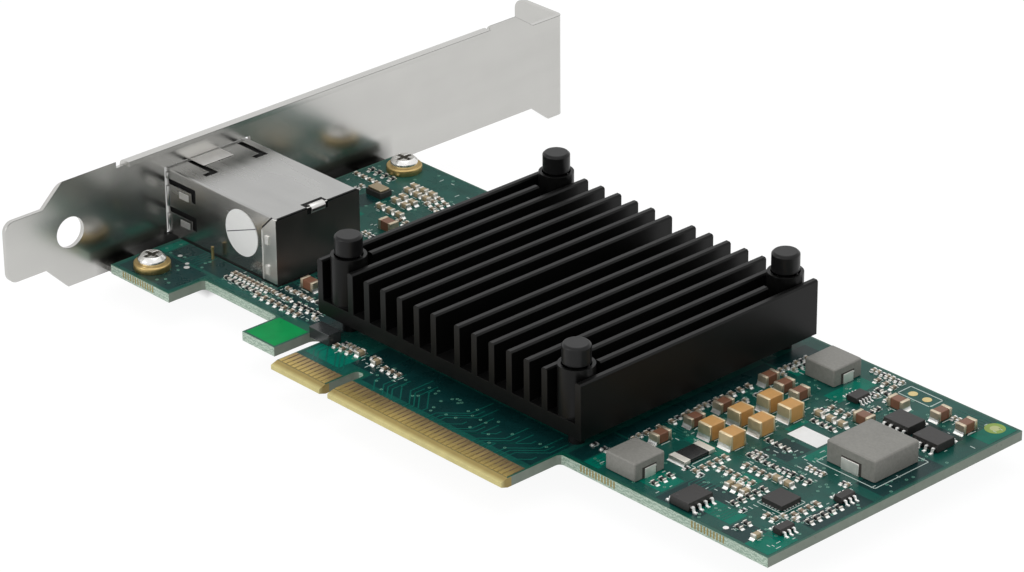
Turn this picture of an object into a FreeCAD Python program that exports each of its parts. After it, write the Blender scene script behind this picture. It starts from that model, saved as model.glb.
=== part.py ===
"""Network interface card: circuit board with an eight-lane edge connector,
full-height mounting bracket, shielded network jack and finned heat sink.

Frame, in millimetres: +X runs along the card away from the bracket, +Y from
the edge connector to the card's top edge, +Z out of the component side.
The origin is on the key slot's centre line, at the connector's tip and on
the board's underside.
"""
import FreeCAD, Part
import math
import os

Vector = FreeCAD.Vector

# ---------------------------------------------------------------- board
board_thickness = 1.57
board_right = 80.8
board_top = 65.35
board_lower_edge = 11.65
recess_edge = 10.7
bracket_foot_right = -41.2
bracket_foot_tip = 3.5
retention_foot_left = -23.2
retention_foot_right = -15.6
retention_foot_tip = 3.55
retention_slot_top = 11.9
retention_slot_round_share = 0.98
board_corner_radius = 0.9

# ---------------------------------------------------------------- edge connector
connector_left = -12.15
connector_right = 39.15
connector_bevel_length = 1.3
connector_bevel_depth = 0.42
key_slot_width = 1.9
key_slot_depth = 7.65
contact_pitch = 1.0
contact_width = 0.7
contact_thickness = 0.05
contact_top = 4.85
contact_tip_gap = 0.1
short_side_contacts = 11
long_side_contacts = 38
first_short_contact = -1.65
first_long_contact = 1.35

# ---------------------------------------------------------------- bracket
sheet = 0.86
bracket_inner_x = -58.6
bracket_board_gap = 2.8
bracket_plate_low = -1.15
bracket_plate_width = 18.42
bracket_tongue_tip = -14.47
bracket_tongue_root = -7.05
bracket_tongue_low = 3.0
bracket_tongue_width = 10.5
bracket_tongue_radius = 1.8
bracket_shoulder = -2.95
bracket_length = 120.02
bracket_flange_depth = 11.43
bracket_flange_low = -4.28
bracket_flange_width = 18.66
bracket_flange_radius = 2.0
bracket_low_step_from_end = (7.55, 3.65)
bracket_high_step_from_end = (11.45, 7.15)
bracket_bend_radius = 1.2
bracket_lip_start = 9.0
bracket_lip_from_end = 18.55
bracket_lip_depth = 2.5
bracket_relief_width = 1.3
bracket_relief_depth = 1.2
screw_notch_width = 4.42
screw_notch_from_plate = 6.35
screw_notch_reach = 5.1
alignment_hole_radius = 2.65
alignment_hole_y = -2.0
window_clearance = 0.25
tab_width = 5.6
tab_reach = 12.2
tab_corner_radius = 1.5

# ---------------------------------------------------------------- bracket screws
screw_from_bracket = 8.2
screw_low_y = 7.6
screw_high_y = 61.1
screw_shank_radius = 1.25
screw_head_radius = 2.3
screw_head_height = 1.25
screw_head_edge_chamfer = 0.6
screw_recess_width = 0.8
screw_recess_span = 3.0
screw_recess_depth = 0.85
screw_tail = 1.3
board_screw_hole_radius = 1.5
washer_outer_radius = 3.0
washer_inner_radius = 1.4
washer_thickness = 1.15
washer_edge_chamfer = 0.15

# ---------------------------------------------------------------- heat sink
sink_left = -16.28
sink_right = 41.87
sink_front = 13.18
sink_back = 62.87
sink_gap_above_board = 2.5
sink_base_thickness = 2.4
sink_height = 9.15
fin_thickness = 1.2
fin_pitch = 3.77
fin_centre_gap = 5.2
inner_fins_each_side = 6
fin_edge_chamfer = 0.25
boss_radius = 2.85
boss_bore_radius = 2.3
boss_height_above_fins = 1.2
short_fin_gap_to_boss = 1.4
pin_from_centre_x = 25.1
pin_from_centre_y = 21.85
pin_hole_radius = 1.5

# ---------------------------------------------------------------- push pins
pin_shaft_radius = 1.25
pin_cap_radius = 2.22
pin_cap_height = 3.1
pin_cap_chamfer = 0.35
pin_cap_above_boss = 0.2
pin_barb_radius = 1.85
pin_barb_length = 2.6
pin_barb_clearance = 0.06
pin_barb_tip_radius = 0.75
pin_barb_neck_length = 0.75
pin_split_width = 0.7
spring_wire_radius = 0.22
spring_radius = 1.85
spring_turns = 3.5
spring_steps_per_turn = 14
spring_wire_sides = 6
spring_end_clearance = 0.08

# ---------------------------------------------------------------- controller
ball_height = 0.45
ball_radius = 0.32
ball_edge_margin = 2.1
balls_per_row = 9
ball_sides = 8
substrate_thickness = 1.0
lid_thickness = 0.75
lid_size = 22.0
package_rim = 1.5
thermal_pad_margin = 1.0
lid_corner_radius = 1.0

# ---------------------------------------------------------------- network jack
jack_sheet = 0.25
jack_proud_of_bracket = 2.3
jack_length = 29.54
jack_low_y = 17.79
jack_width = 16.83
jack_height = 11.43
jack_fit = 0.06
jack_edge_radius = 0.35
jack_slot_width = 1.05
jack_side_slot_height = 0.95
jack_slot_foot_width = 1.1
jack_slot_start = 0.3
jack_slot_reach = 9.3
jack_slot_foot = 1.5
jack_top_slots = (3.9, 14.2)
jack_side_slots = (8.75, 3.85)
jack_ridge_radius = 0.32
jack_ridge_gap = 0.4
jack_ridge_end_gap = 0.7
jack_crease_from_front = 3.8
jack_crease_width = 0.3
jack_crease_height = 0.12
jack_crease_inset = 2.4
rear_flap_reach = 3.3
rear_flap_slope = 2.6
rear_flap_floor = 0.2
rear_dimple_radius = 0.42
rear_dimple_height = 0.2
rear_dimples = (7.35, 2.65)
rear_hook_width = 2.8
rear_hook_radius = 0.75
rear_hook_setback = 0.4
rear_hook_drop = 0.5
rear_hook_clearance = 0.2
rear_notch_reach = 1.7
port_width = 11.9
port_height = 7.6
port_floor = 2.1
port_depth = 14.0
port_back_wall = 1.6
latch_width = 6.2
latch_depth = 1.55
light_width = 2.6
light_height = 1.7
light_offset = 6.25
light_length = 5.0
light_floor = 0.35
plug_contacts = 8
plug_contact_pitch = 1.02
plug_contact_width = 0.45
plug_contact_thickness = 0.3
plug_contact_drop = 2.9
plug_contact_nose_setback = 2.6
plug_contact_free_end_gap = 2.5
shield_leg_width = 1.4
shield_leg_length = 2.5
shield_leg_clearance = 0.1
shield_leg_offsets = (4.4, 13.3, 24.1)
magnetics_gap = 0.5
magnetics_wall = 1.0
magnetics_floor = 2.2
signal_pin_width = 0.5
signal_pins_per_row = 8
signal_pin_pitch = 1.78
signal_pin_rows_from_rear = (4.04, 6.64)
signal_pin_tail = 0.9
signal_pin_hole_clearance = 0.2
coil_outer_radius = 1.7
coil_inner_radius = 0.7
coil_height = 2.2
coil_gap = 0.6
sticker_radius = 3.95
sticker_thickness = 0.1
sticker_from_rear = 8.74
sticker_height = 6.25
ground_pin_x = -46.2
ground_pin_y = 16.55
ground_pin_radius = 0.25
ground_pin_height = 2.1

# ---------------------------------------------------------------- inductors
small_inductor_size = 6.1
small_inductor_height = 3.0
small_inductor_spots = ((49.8, 16.4), (49.6, 58.3))
large_inductor_size = 9.5
large_inductor_height = 3.6
large_inductor_spot = (72.0, 42.6)
inductor_stand_off = 0.12
inductor_edge_radius = 0.35
inductor_terminal_width_share = 0.36
inductor_terminal_thickness = 0.15
inductor_terminal_height_share = 0.55
inductor_terminal_foot = 1.3

# ---------------------------------------------------------------- chip parts
# A chip part is a ceramic body between two plated ends: along, across, high.
big_chip = (3.2, 2.5, 2.45)
middle_chip = (3.0, 1.7, 1.6)
sense_chip = (6.3, 3.2, 0.7)
small_chip = (1.6, 0.85, 0.8)
tiny_chip = (1.1, 0.6, 0.42)
chip_end_share = 0.2
chip_end_plating = 0.05

# Where they sit: x, y and whether the long side runs along X or Y.
big_chip_columns = (50.4, 54.6)
big_chip_rows = (31.5, 37.6, 43.8)
big_chip_spots = [(x, y, "Y") for y in big_chip_rows for x in big_chip_columns]
middle_chip_spots = [
    (44.6, 49.6, "Y"), (47.9, 49.5, "Y"), (51.2, 49.3, "Y"),
    (45.9, 38.6, "Y"), (46.2, 32.2, "Y"), (46.3, 25.0, "Y"),
    (70.0, 59.6, "Y"), (75.1, 59.4, "Y"), (63.4, 57.7, "X"), (63.2, 50.4, "X"),
    (-27.2, 20.8, "X"),
]
sense_chip_spot = (52.7, 25.1, "Y")

# Rows of small parts: first x, first y, step in x, step in y, long side, and
# below each table how many parts each row has.
small_chip_rows = [
    (-43.2, 55.6, 2.2, 0.0, "X"),
    (-43.6, 57.4, 2.2, 0.0, "X"),
    (-41.8, 51.6, 0.0, 1.7, "X"),
    (-39.2, 51.4, 0.0, 1.6, "X"),
    (-41.8, 48.3, 2.3, 0.0, "X"),
    (-4.5, 11.4, 0.0, 0.0, "Y"),
    (-0.6, 11.2, 0.0, 0.0, "Y"),
    (75.8, 14.6, 0.0, 0.0, "Y"),
    (62.9, 22.5, 1.5, 0.0, "Y"),
    (66.4, 28.6, 2.2, 0.0, "X"),
    (57.0, 47.4, 2.3, 0.0, "X"),
]
small_chip_counts = (3, 3, 2, 2, 3, 1, 1, 1, 3, 2, 3)
tiny_capacitor_rows = [
    (-39.4, 15.4, 1.05, 0.0, "Y"),
    (-31.0, 13.2, 1.6, 0.0, "Y"),
    (-29.8, 15.6, 1.7, 0.0, "X"),
    (-29.2, 18.0, 1.7, 0.0, "X"),
    (-54.4, 54.2, 1.7, 0.0, "X"),
    (-37.4, 54.6, 0.0, 1.4, "X"),
    (-35.4, 54.0, 0.0, 1.4, "X"),
    (-36.0, 47.2, 1.5, 0.0, "Y"),
    (-9.2, 10.6, 1.5, 0.0, "Y"),
    (1.6, 10.9, 1.5, 0.0, "Y"),
    (43.6, 22.4, 0.0, 2.6, "X"),
    (43.5, 41.0, 0.0, 1.8, "X"),
    (56.6, 22.0, 0.0, 1.5, "X"),
    (58.6, 25.2, 1.5, 0.0, "Y"),
    (60.4, 28.4, 1.5, 0.0, "Y"),
    (72.6, 20.0, 1.5, 0.0, "Y"),
    (75.2, 23.0, 0.0, 1.5, "X"),
    (56.8, 50.2, 1.6, 0.0, "Y"),
    (55.6, 61.6, 1.6, 0.0, "Y"),
]
tiny_capacitor_counts = (9, 7, 3, 4, 4, 3, 3, 4, 3, 3, 6, 4, 5, 5, 4, 2, 4, 3, 3)
tiny_resistor_rows = [
    (-38.9, 13.6, 1.7, 0.0, "X"),
    (-24.0, 15.4, 1.5, 0.0, "Y"),
    (-22.2, 18.2, 1.7, 0.0, "X"),
    (-54.0, 57.0, 1.7, 0.0, "Y"),
    (-33.2, 50.6, 1.5, 0.0, "Y"),
    (-26.6, 50.0, 0.0, 1.6, "X"),
    (55.0, 18.4, 0.0, -1.6, "X"),
    (67.0, 19.2, 0.0, 1.5, "X"),
    (58.8, 31.0, 1.6, 0.0, "X"),
    (66.8, 31.2, 1.6, 0.0, "Y"),
    (78.0, 23.0, 0.0, 1.5, "X"),
    (72.2, 16.4, 0.0, -1.6, "X"),
    (57.6, 36.2, 1.7, 0.0, "X"),
    (58.0, 45.4, 1.7, 0.0, "X"),
    (61.8, 53.2, 0.0, 1.5, "Y"),
    (58.0, 59.4, 1.6, 0.0, "X"),
]
tiny_resistor_counts = (5, 4, 3, 4, 4, 3, 3, 5, 4, 3, 5, 2, 3, 3, 2, 3)

# ---------------------------------------------------------------- moulded chips
# Gull-wing packages: body along the pins, body across, pin pitch and height.
power_package = (4.9, 3.9, 1.27, 1.45)
gate_package = (2.9, 1.6, 0.95, 1.1)
driver_package = (2.9, 2.2, 0.65, 1.0)
power_pins_per_side = 4
gate_pins_per_side = 3
driver_pins_per_side = 4

# Where they sit: x, y, package, pins on a side, and the axis the pins point along.
transistor_spots = [
    (62.4, 15.2, power_package, power_pins_per_side, "X"),
    (68.0, 53.8, power_package, power_pins_per_side, "Y"),
    (74.5, 52.9, power_package, power_pins_per_side, "Y"),
]
logic_spots = [
    (76.9, 31.4, gate_package, gate_pins_per_side, "X"),
    (77.2, 18.6, gate_package, gate_pins_per_side, "X"),
    (57.5, 55.3, driver_package, driver_pins_per_side, "X"),
]
gull_stand_off = 0.1
gull_foot = 0.75
gull_thickness = 0.2
gull_width_share = 0.34
gull_body_draft = 0.12
regulator_spot = (71.2, 24.4)
regulator_size = 4.0
regulator_height = 0.9
regulator_pads_per_side = 6
regulator_pad_width = 0.28
regulator_pad_inside = 0.35
regulator_pad_outside = 0.15
regulator_centre_pad = 2.2
crystal_spot = (-46.0, 51.6)
crystal_size = (3.6, 2.5)
crystal_base_height = 1.1
crystal_lid_height = 0.35
crystal_lid_margin = 0.25
oscillator_spot = (-12.3, 11.0)
oscillator_size = (4.6, 2.6, 1.9)

# ---------------------------------------------------------------- worked out
board_top_face = board_thickness
bracket_outer_x = bracket_inner_x - sheet
board_left = bracket_inner_x + bracket_board_gap
screw_x = bracket_inner_x + screw_from_bracket
bracket_plate_high = bracket_plate_low + bracket_plate_width
bracket_end = bracket_tongue_tip + bracket_length
bracket_lip_end = bracket_end - bracket_lip_from_end
bracket_flange_high = bracket_flange_low + bracket_flange_width
bracket_centre_z = bracket_plate_low + bracket_plate_width / 2
sink_bottom = board_top_face + sink_gap_above_board
sink_floor = sink_bottom + sink_base_thickness
fin_tip = sink_bottom + sink_height
sink_centre_x = (sink_left + sink_right) / 2
sink_centre_y = (sink_front + sink_back) / 2
boss_top = fin_tip + boss_height_above_fins
pin_spots = [
    (sink_centre_x + side * pin_from_centre_x, sink_centre_y + end * pin_from_centre_y)
    for side in (-1, 1) for end in (-1, 1)
]
package_size = lid_size + 2 * package_rim
ball_pitch = (package_size - 2 * ball_edge_margin) / (balls_per_row - 1)
substrate_bottom = board_top_face + ball_height
lid_bottom = substrate_bottom + substrate_thickness
lid_top = lid_bottom + lid_thickness
jack_high_y = jack_low_y + jack_width
jack_centre_y = jack_low_y + jack_width / 2
jack_top = board_top_face + jack_height
jack_front = bracket_inner_x - jack_proud_of_bracket
jack_rear = jack_front + jack_length
jack_slot_end = jack_front + jack_slot_reach
jack_crease_x = jack_front + jack_crease_from_front
signal_pin_rows = [jack_rear - offset for offset in signal_pin_rows_from_rear]
sticker_x = jack_rear - sticker_from_rear
jack_inner_rear = jack_rear - jack_sheet
housing_front = jack_front + jack_sheet
housing_rear = housing_front + port_depth + port_back_wall
port_bottom = board_top_face + port_floor
port_top = port_bottom + port_height
screw_spots = [(screw_x, screw_low_y), (screw_x, screw_high_y)]


# ---------------------------------------------------------------- shape helpers
def box(x0, x1, y0, y1, z0, z1):
    """A box between two corners."""
    return Part.makeBox(x1 - x0, y1 - y0, z1 - z0, Vector(x0, y0, z0))


def post(x, y, z0, z1, radius):
    """An upright cylinder."""
    return Part.makeCylinder(radius, z1 - z0, Vector(x, y, z0))


def prism(points, direction):
    """The solid swept by a closed outline along a straight direction."""
    outline = Part.makePolygon([Vector(*point) for point in points + points[:1]])
    return Part.Face(outline).extrude(Vector(*direction))


def flat_face(points):
    """A flat face inside a closed loop of points."""
    return Part.Face(Part.makePolygon(points + points[:1]))


def many_sided_post(x, y, z0, z1, radius, sides):
    """An upright prism with a regular outline."""
    corners = []
    for i in range(sides):
        angle = 2 * math.pi * i / sides
        corners.append((x + radius * math.cos(angle), y + radius * math.sin(angle), z0))
    return prism(corners, (0, 0, z1 - z0))


def upright_edges(shape, x, y):
    """Edges parallel to Z at the given corner."""
    return [
        edge for edge in shape.Edges
        if abs(edge.Vertexes[0].X - x) < 1e-4 and abs(edge.Vertexes[-1].X - x) < 1e-4
        and abs(edge.Vertexes[0].Y - y) < 1e-4 and abs(edge.Vertexes[-1].Y - y) < 1e-4
    ]


def edges_along(shape, axis):
    """Straight edges that run along one axis, 0 for X, 1 for Y and 2 for Z."""
    found = []
    for edge in shape.Edges:
        if len(edge.Vertexes) != 2:
            continue
        span = edge.Vertexes[1].Point.sub(edge.Vertexes[0].Point)
        if abs(abs(span[axis]) - edge.Length) < 1e-6:
            found.append(edge)
    return found


def round_corners(shape, corners, radius):
    """Round the upright corners at the listed x, y places."""
    chosen = []
    for x, y in corners:
        chosen.extend(upright_edges(shape, x, y))
    return shape.makeFillet(radius, chosen)


def group(solids):
    """Separate solids that belong to one node."""
    return Part.makeCompound(solids)


# ---------------------------------------------------------------- board
def board_outline():
    """Corners of the board, anticlockwise from the bracket foot."""
    return [
        (board_left, bracket_foot_tip),
        (bracket_foot_right, bracket_foot_tip),
        (bracket_foot_right, recess_edge),
        (retention_foot_left, recess_edge),
        (retention_foot_left, retention_foot_tip),
        (retention_foot_right, retention_foot_tip),
        (retention_foot_right, retention_slot_top),
        (connector_left, retention_slot_top),
        (connector_left, 0.0),
        (connector_right, 0.0),
        (connector_right, board_lower_edge),
        (board_right, board_lower_edge),
        (board_right, board_top),
        (board_left, board_top),
    ]


def connector_bevel(face_z, sign):
    """The wedge ground off one face at the connector's tip."""
    points = [
        (connector_left, -0.01, face_z + sign * 0.01),
        (connector_left, connector_bevel_length, face_z + sign * 0.01),
        (connector_left, -0.01, face_z - sign * connector_bevel_depth),
    ]
    return prism(points, (connector_right - connector_left, 0, 0))


def circuit_board():
    board = prism([(x, y, 0) for x, y in board_outline()], (0, 0, board_thickness))
    corners = [
        (bracket_foot_right, recess_edge), (retention_foot_left, recess_edge),
        (connector_right, board_lower_edge),
    ]
    board = round_corners(board, corners, board_corner_radius)
    slot_radius = (connector_left - retention_foot_right) / 2 * retention_slot_round_share
    slot_corners = [(retention_foot_right, retention_slot_top), (connector_left, retention_slot_top)]
    board = round_corners(board, slot_corners, slot_radius)
    board = board.cut(connector_bevel(board_thickness, 1))
    board = board.cut(connector_bevel(0.0, -1))
    half = key_slot_width / 2
    key = box(-half, half, -1, key_slot_depth - half, -1, board_thickness + 1)
    key = key.fuse(post(0, key_slot_depth - half, -1, board_thickness + 1, half))
    holes = [post(x, y, -1, board_thickness + 1, board_screw_hole_radius) for x, y in screw_spots]
    holes += [post(x, y, -1, board_thickness + 1, pin_hole_radius) for x, y in pin_spots]
    gap = shield_leg_clearance
    holes += [
        box(x - gap, x + width + gap, y - gap, y + jack_sheet + gap, -1, board_thickness + 1)
        for x, y, width in shield_leg_spots()
    ]
    holes += [
        post(x, y, -1, board_thickness + 1, signal_pin_width / 2 + signal_pin_hole_clearance) for x, y in signal_pin_spots()
    ]
    return board.cut([key] + holes)


def contact_positions():
    short = [first_short_contact - i * contact_pitch for i in range(short_side_contacts)]
    long = [first_long_contact + i * contact_pitch for i in range(long_side_contacts)]
    return short + long


def edge_contacts():
    low = connector_bevel_length + contact_tip_gap
    pads = []
    for x in contact_positions():
        half = contact_width / 2
        top = board_thickness + contact_thickness
        pads.append(box(x - half, x + half, low, contact_top, board_thickness, top))
        pads.append(box(x - half, x + half, low, contact_top, -contact_thickness, 0))
    return group(pads)


# ---------------------------------------------------------------- bracket
def bracket_plate_outline():
    """Corners of the flat plate in Y and Z, from the tongue round the low edge."""
    high = bracket_plate_high
    tongue_high = bracket_tongue_low + bracket_tongue_width
    return [
        (bracket_tongue_tip, bracket_tongue_low),
        (bracket_tongue_root, bracket_tongue_low),
        (bracket_shoulder, bracket_plate_low),
        (bracket_end - bracket_low_step_from_end[0], bracket_plate_low),
        (bracket_end - bracket_low_step_from_end[1], bracket_flange_low),
        (bracket_end, bracket_flange_low),
        (bracket_end, bracket_flange_high),
        (bracket_end - bracket_high_step_from_end[1], bracket_flange_high),
        (bracket_end - bracket_high_step_from_end[0], high),
        (bracket_shoulder, high),
        (bracket_tongue_root, tongue_high),
        (bracket_tongue_tip, tongue_high),
    ]


def bracket_tab(y):
    """The ear under the board that takes one screw."""
    reach = bracket_inner_x + tab_reach
    low, high = y - tab_width / 2, y + tab_width / 2
    ear = box(bracket_outer_x, reach, low, high, -sheet, 0)
    return round_corners(ear, [(reach, low), (reach, high)], tab_corner_radius)


def bracket_flange():
    """The ear that is screwed to the chassis, bent away from the board."""
    far = bracket_inner_x - bracket_flange_depth
    start = bracket_end - sheet
    ear = box(far, bracket_inner_x, start, bracket_end, bracket_flange_low, bracket_flange_high)
    corner = [
        edge for edge in edges_along(ear, 1)
        if abs(edge.Vertexes[0].X - far) < 1e-6 and abs(edge.Vertexes[0].Z - bracket_flange_high) < 1e-6
    ]
    ear = ear.makeFillet(bracket_flange_radius, corner)
    notch_x = bracket_inner_x - screw_notch_from_plate
    half = screw_notch_width / 2
    notch_z = bracket_flange_low + screw_notch_reach
    slot = box(notch_x - half, notch_x + half, start - 1, bracket_end + 1, bracket_flange_low - 1, notch_z)
    round_end = Part.makeCylinder(half, sheet + 2, Vector(notch_x, start - 1, notch_z), Vector(0, 1, 0))
    return ear.cut([slot, round_end])


def round_bend(shape, x, test):
    """Round the outside of a fold whose edge lies at x and passes the test."""
    chosen = [edge for edge in shape.Edges if len(edge.Vertexes) == 2
              and abs(edge.Vertexes[0].X - x) < 1e-6 and abs(edge.Vertexes[1].X - x) < 1e-6
              and test(edge)]
    return shape.makeFillet(bracket_bend_radius, chosen)


def mounting_bracket():
    outline = bracket_plate_outline()
    plate = prism([(bracket_outer_x, y, z) for y, z in outline], (sheet, 0, 0))
    tongue_corners = [
        edge for edge in edges_along(plate, 0)
        if abs(edge.Vertexes[0].Y - bracket_tongue_tip) < 1e-6
    ]
    plate = plate.makeFillet(bracket_tongue_radius, tongue_corners)
    flange = bracket_flange()
    lip = box(bracket_outer_x, bracket_outer_x + bracket_lip_depth, bracket_lip_start,
              bracket_lip_end, bracket_plate_high - sheet, bracket_plate_high)
    body = plate.fuse([flange, lip]).removeSplitter()
    high = bracket_plate_high
    body = round_bend(body, bracket_outer_x, lambda edge: (
        abs(edge.Vertexes[0].Z - high) < 1e-6 and abs(edge.Vertexes[1].Z - high) < 1e-6))
    end = bracket_end
    body = round_bend(body, bracket_inner_x, lambda edge: (
        abs(edge.Vertexes[0].Y - end) < 1e-6 and abs(edge.Vertexes[1].Y - end) < 1e-6))
    cuts = []
    for start in (bracket_lip_start - bracket_relief_width, bracket_lip_end):
        cuts.append(box(bracket_outer_x - 1, bracket_inner_x + bracket_lip_depth, start,
                        start + bracket_relief_width, high - bracket_relief_depth, high + 1))
    gap = window_clearance
    cuts.append(box(bracket_outer_x - 1, bracket_inner_x + 1, jack_low_y - jack_ridge_radius - gap,
                    jack_high_y + jack_ridge_radius + gap, board_top_face - gap, jack_top + gap))
    cuts.append(Part.makeCylinder(alignment_hole_radius, sheet + 2,
                                  Vector(bracket_outer_x - 1, alignment_hole_y, bracket_centre_z),
                                  Vector(1, 0, 0)))
    body = body.cut(cuts)
    body = body.fuse([bracket_tab(y) for x, y in screw_spots])
    threads = [post(x, y, -sheet - 1, 1, screw_shank_radius) for x, y in screw_spots]
    return body.cut(threads).removeSplitter()


def bracket_screws():
    screws = []
    for x, y in screw_spots:
        seat = board_top_face + washer_thickness
        head = post(x, y, seat, seat + screw_head_height, screw_head_radius)
        rim = [edge for edge in head.Edges if abs(edge.BoundBox.ZMin - head.BoundBox.ZMax) < 1e-6]
        head = head.makeChamfer(screw_head_edge_chamfer, rim)
        shank = post(x, y, -sheet - screw_tail, seat, screw_shank_radius)
        half, reach = screw_recess_width / 2, screw_recess_span / 2
        floor, top = seat + screw_head_height - screw_recess_depth, seat + screw_head_height + 1
        cross = box(x - half, x + half, y - reach, y + reach, floor, top)
        cross = cross.fuse(box(x - reach, x + reach, y - half, y + half, floor, top))
        screws.append(head.fuse(shank).cut(cross).removeSplitter())
    return group(screws)


def screw_washers():
    rings = []
    for x, y in screw_spots:
        top = board_top_face + washer_thickness
        disc = post(x, y, board_top_face, top, washer_outer_radius)
        rim = [edge for edge in disc.Edges if abs(edge.BoundBox.ZMin - top) < 1e-6]
        disc = disc.makeChamfer(washer_edge_chamfer, rim)
        rings.append(disc.cut(post(x, y, board_top_face - 1, top + 1, washer_inner_radius)))
    return group(rings)


# ---------------------------------------------------------------- heat sink
def fin_places():
    """Middle of each fin along X, from the bracket end."""
    half = fin_thickness / 2
    inner = []
    for i in range(inner_fins_each_side):
        offset = fin_centre_gap / 2 + i * fin_pitch
        inner += [sink_centre_x - offset, sink_centre_x + offset]
    return sorted(inner + [sink_left + half, sink_right - half])


def fin(x, front, back):
    half = fin_thickness / 2
    blade = box(x - half, x + half, front, back, sink_floor, fin_tip)
    tips = [edge for edge in edges_along(blade, 1) if abs(edge.Vertexes[0].Z - fin_tip) < 1e-6]
    return blade.makeChamfer(fin_edge_chamfer, tips)


def short_fins():
    """The two fins in line with the pins, which end short of the bosses."""
    reach = pin_from_centre_y - boss_radius - short_fin_gap_to_boss
    return [fin(sink_centre_x + side * pin_from_centre_x, sink_centre_y - reach, sink_centre_y + reach)
            for side in (-1, 1)]


def heat_sink():
    base = box(sink_left, sink_right, sink_front, sink_back, sink_bottom, sink_floor)
    blades = [fin(x, sink_front, sink_back) for x in fin_places()] + short_fins()
    bosses = [post(x, y, sink_bottom, boss_top, boss_radius) for x, y in pin_spots]
    body = base.fuse(blades + bosses)
    cuts = []
    for x, y in pin_spots:
        cuts.append(post(x, y, sink_floor, boss_top + 1, boss_bore_radius))
        cuts.append(post(x, y, sink_bottom - 1, sink_floor, pin_hole_radius))
    return body.cut(cuts).removeSplitter()


def push_pin(x, y):
    cap_bottom = boss_top + pin_cap_above_boss
    cap = post(x, y, cap_bottom, cap_bottom + pin_cap_height, pin_cap_radius)
    rim = [edge for edge in cap.Edges if abs(edge.BoundBox.ZMin - cap.BoundBox.ZMax) < 1e-6]
    cap = cap.makeChamfer(pin_cap_chamfer, rim)
    shaft = post(x, y, -pin_barb_length, cap_bottom, pin_shaft_radius)
    neck_low = -pin_barb_clearance - pin_barb_neck_length
    barb = Part.makeCone(pin_barb_tip_radius, pin_barb_radius, neck_low + pin_barb_length,
                         Vector(x, y, -pin_barb_length))
    neck = post(x, y, neck_low, -pin_barb_clearance, pin_barb_radius)
    half, reach = pin_split_width / 2, pin_barb_radius + 1
    split = box(x - half, x + half, y - reach, y + reach, -pin_barb_length - 1, board_thickness)
    return cap.fuse([shaft, barb, neck]).cut(split).removeSplitter()


def push_pins():
    return group([push_pin(x, y) for x, y in pin_spots])


def pin_spring(x, y):
    """A helical spring drawn as flat facets round the wire and along the turns."""
    low = sink_floor + spring_wire_radius + spring_end_clearance
    high = boss_top + pin_cap_above_boss - spring_wire_radius - spring_end_clearance
    steps = round(spring_turns * spring_steps_per_turn)
    rings = []
    for k in range(steps + 1):
        angle = 2 * math.pi * spring_turns * k / steps
        outward = Vector(math.cos(angle), math.sin(angle), 0)
        centre = Vector(x, y, low + (high - low) * k / steps) + outward * spring_radius
        ring = []
        for j in range(spring_wire_sides):
            turn = 2 * math.pi * j / spring_wire_sides
            offset = outward * math.cos(turn) + Vector(0, 0, 1) * math.sin(turn)
            ring.append(centre + offset * spring_wire_radius)
        rings.append(ring)
    facets = [flat_face(rings[0]), flat_face(rings[-1])]
    for near, far in zip(rings, rings[1:]):
        for j in range(spring_wire_sides):
            after = (j + 1) % spring_wire_sides
            facets.append(flat_face([near[j], near[after], far[after]]))
            facets.append(flat_face([near[j], far[after], far[j]]))
    return Part.makeSolid(Part.makeShell(facets))


def pin_springs():
    return group([pin_spring(x, y) for x, y in pin_spots])


# ---------------------------------------------------------------- controller
def centred_box(size, z0, z1):
    half = size / 2
    return box(sink_centre_x - half, sink_centre_x + half, sink_centre_y - half,
               sink_centre_y + half, z0, z1)


def controller_substrate():
    return centred_box(package_size, substrate_bottom, lid_bottom)


def controller_lid():
    lid = centred_box(lid_size, lid_bottom, lid_top)
    return lid.makeFillet(lid_corner_radius, edges_along(lid, 2))


def controller_solder_balls():
    balls = []
    start = -(balls_per_row - 1) / 2 * ball_pitch
    for i in range(balls_per_row):
        for j in range(balls_per_row):
            x = sink_centre_x + start + i * ball_pitch
            y = sink_centre_y + start + j * ball_pitch
            balls.append(many_sided_post(x, y, board_top_face, substrate_bottom, ball_radius, ball_sides))
    return group(balls)


def thermal_pad():
    return centred_box(lid_size - 2 * thermal_pad_margin, lid_top, sink_bottom)


# ---------------------------------------------------------------- network jack
def shield_leg_spots():
    """Corner x, corner y and width of each leg under the jack's two sides."""
    legs = []
    for offset in shield_leg_offsets:
        x = jack_front + offset
        legs.append((x, jack_low_y, shield_leg_width))
        legs.append((x, jack_high_y - jack_sheet, shield_leg_width))
    return legs


def signal_pin_spots():
    start = jack_centre_y - (signal_pins_per_row - 1) / 2 * signal_pin_pitch
    return [(x, start + i * signal_pin_pitch) for x in signal_pin_rows
            for i in range(signal_pins_per_row)]


def port_hollow(front, back, grow=0.0):
    """The space that a plug and its latch take up."""
    half = port_width / 2 + grow
    latch = latch_width / 2 + grow
    mouth = box(front, back, jack_centre_y - half, jack_centre_y + half,
                port_bottom - grow, port_top + grow)
    groove = box(front, back, jack_centre_y - latch, jack_centre_y + latch,
                 port_bottom - latch_depth - grow, port_bottom + 1)
    return mouth.fuse(groove)


def light_box(side, front, back, grow=0.0):
    y = jack_centre_y + side * light_offset
    half = light_width / 2 + grow
    low = board_top_face + light_floor
    return box(front, back, y - half, y + half, low - grow, low + light_height + grow)


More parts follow.
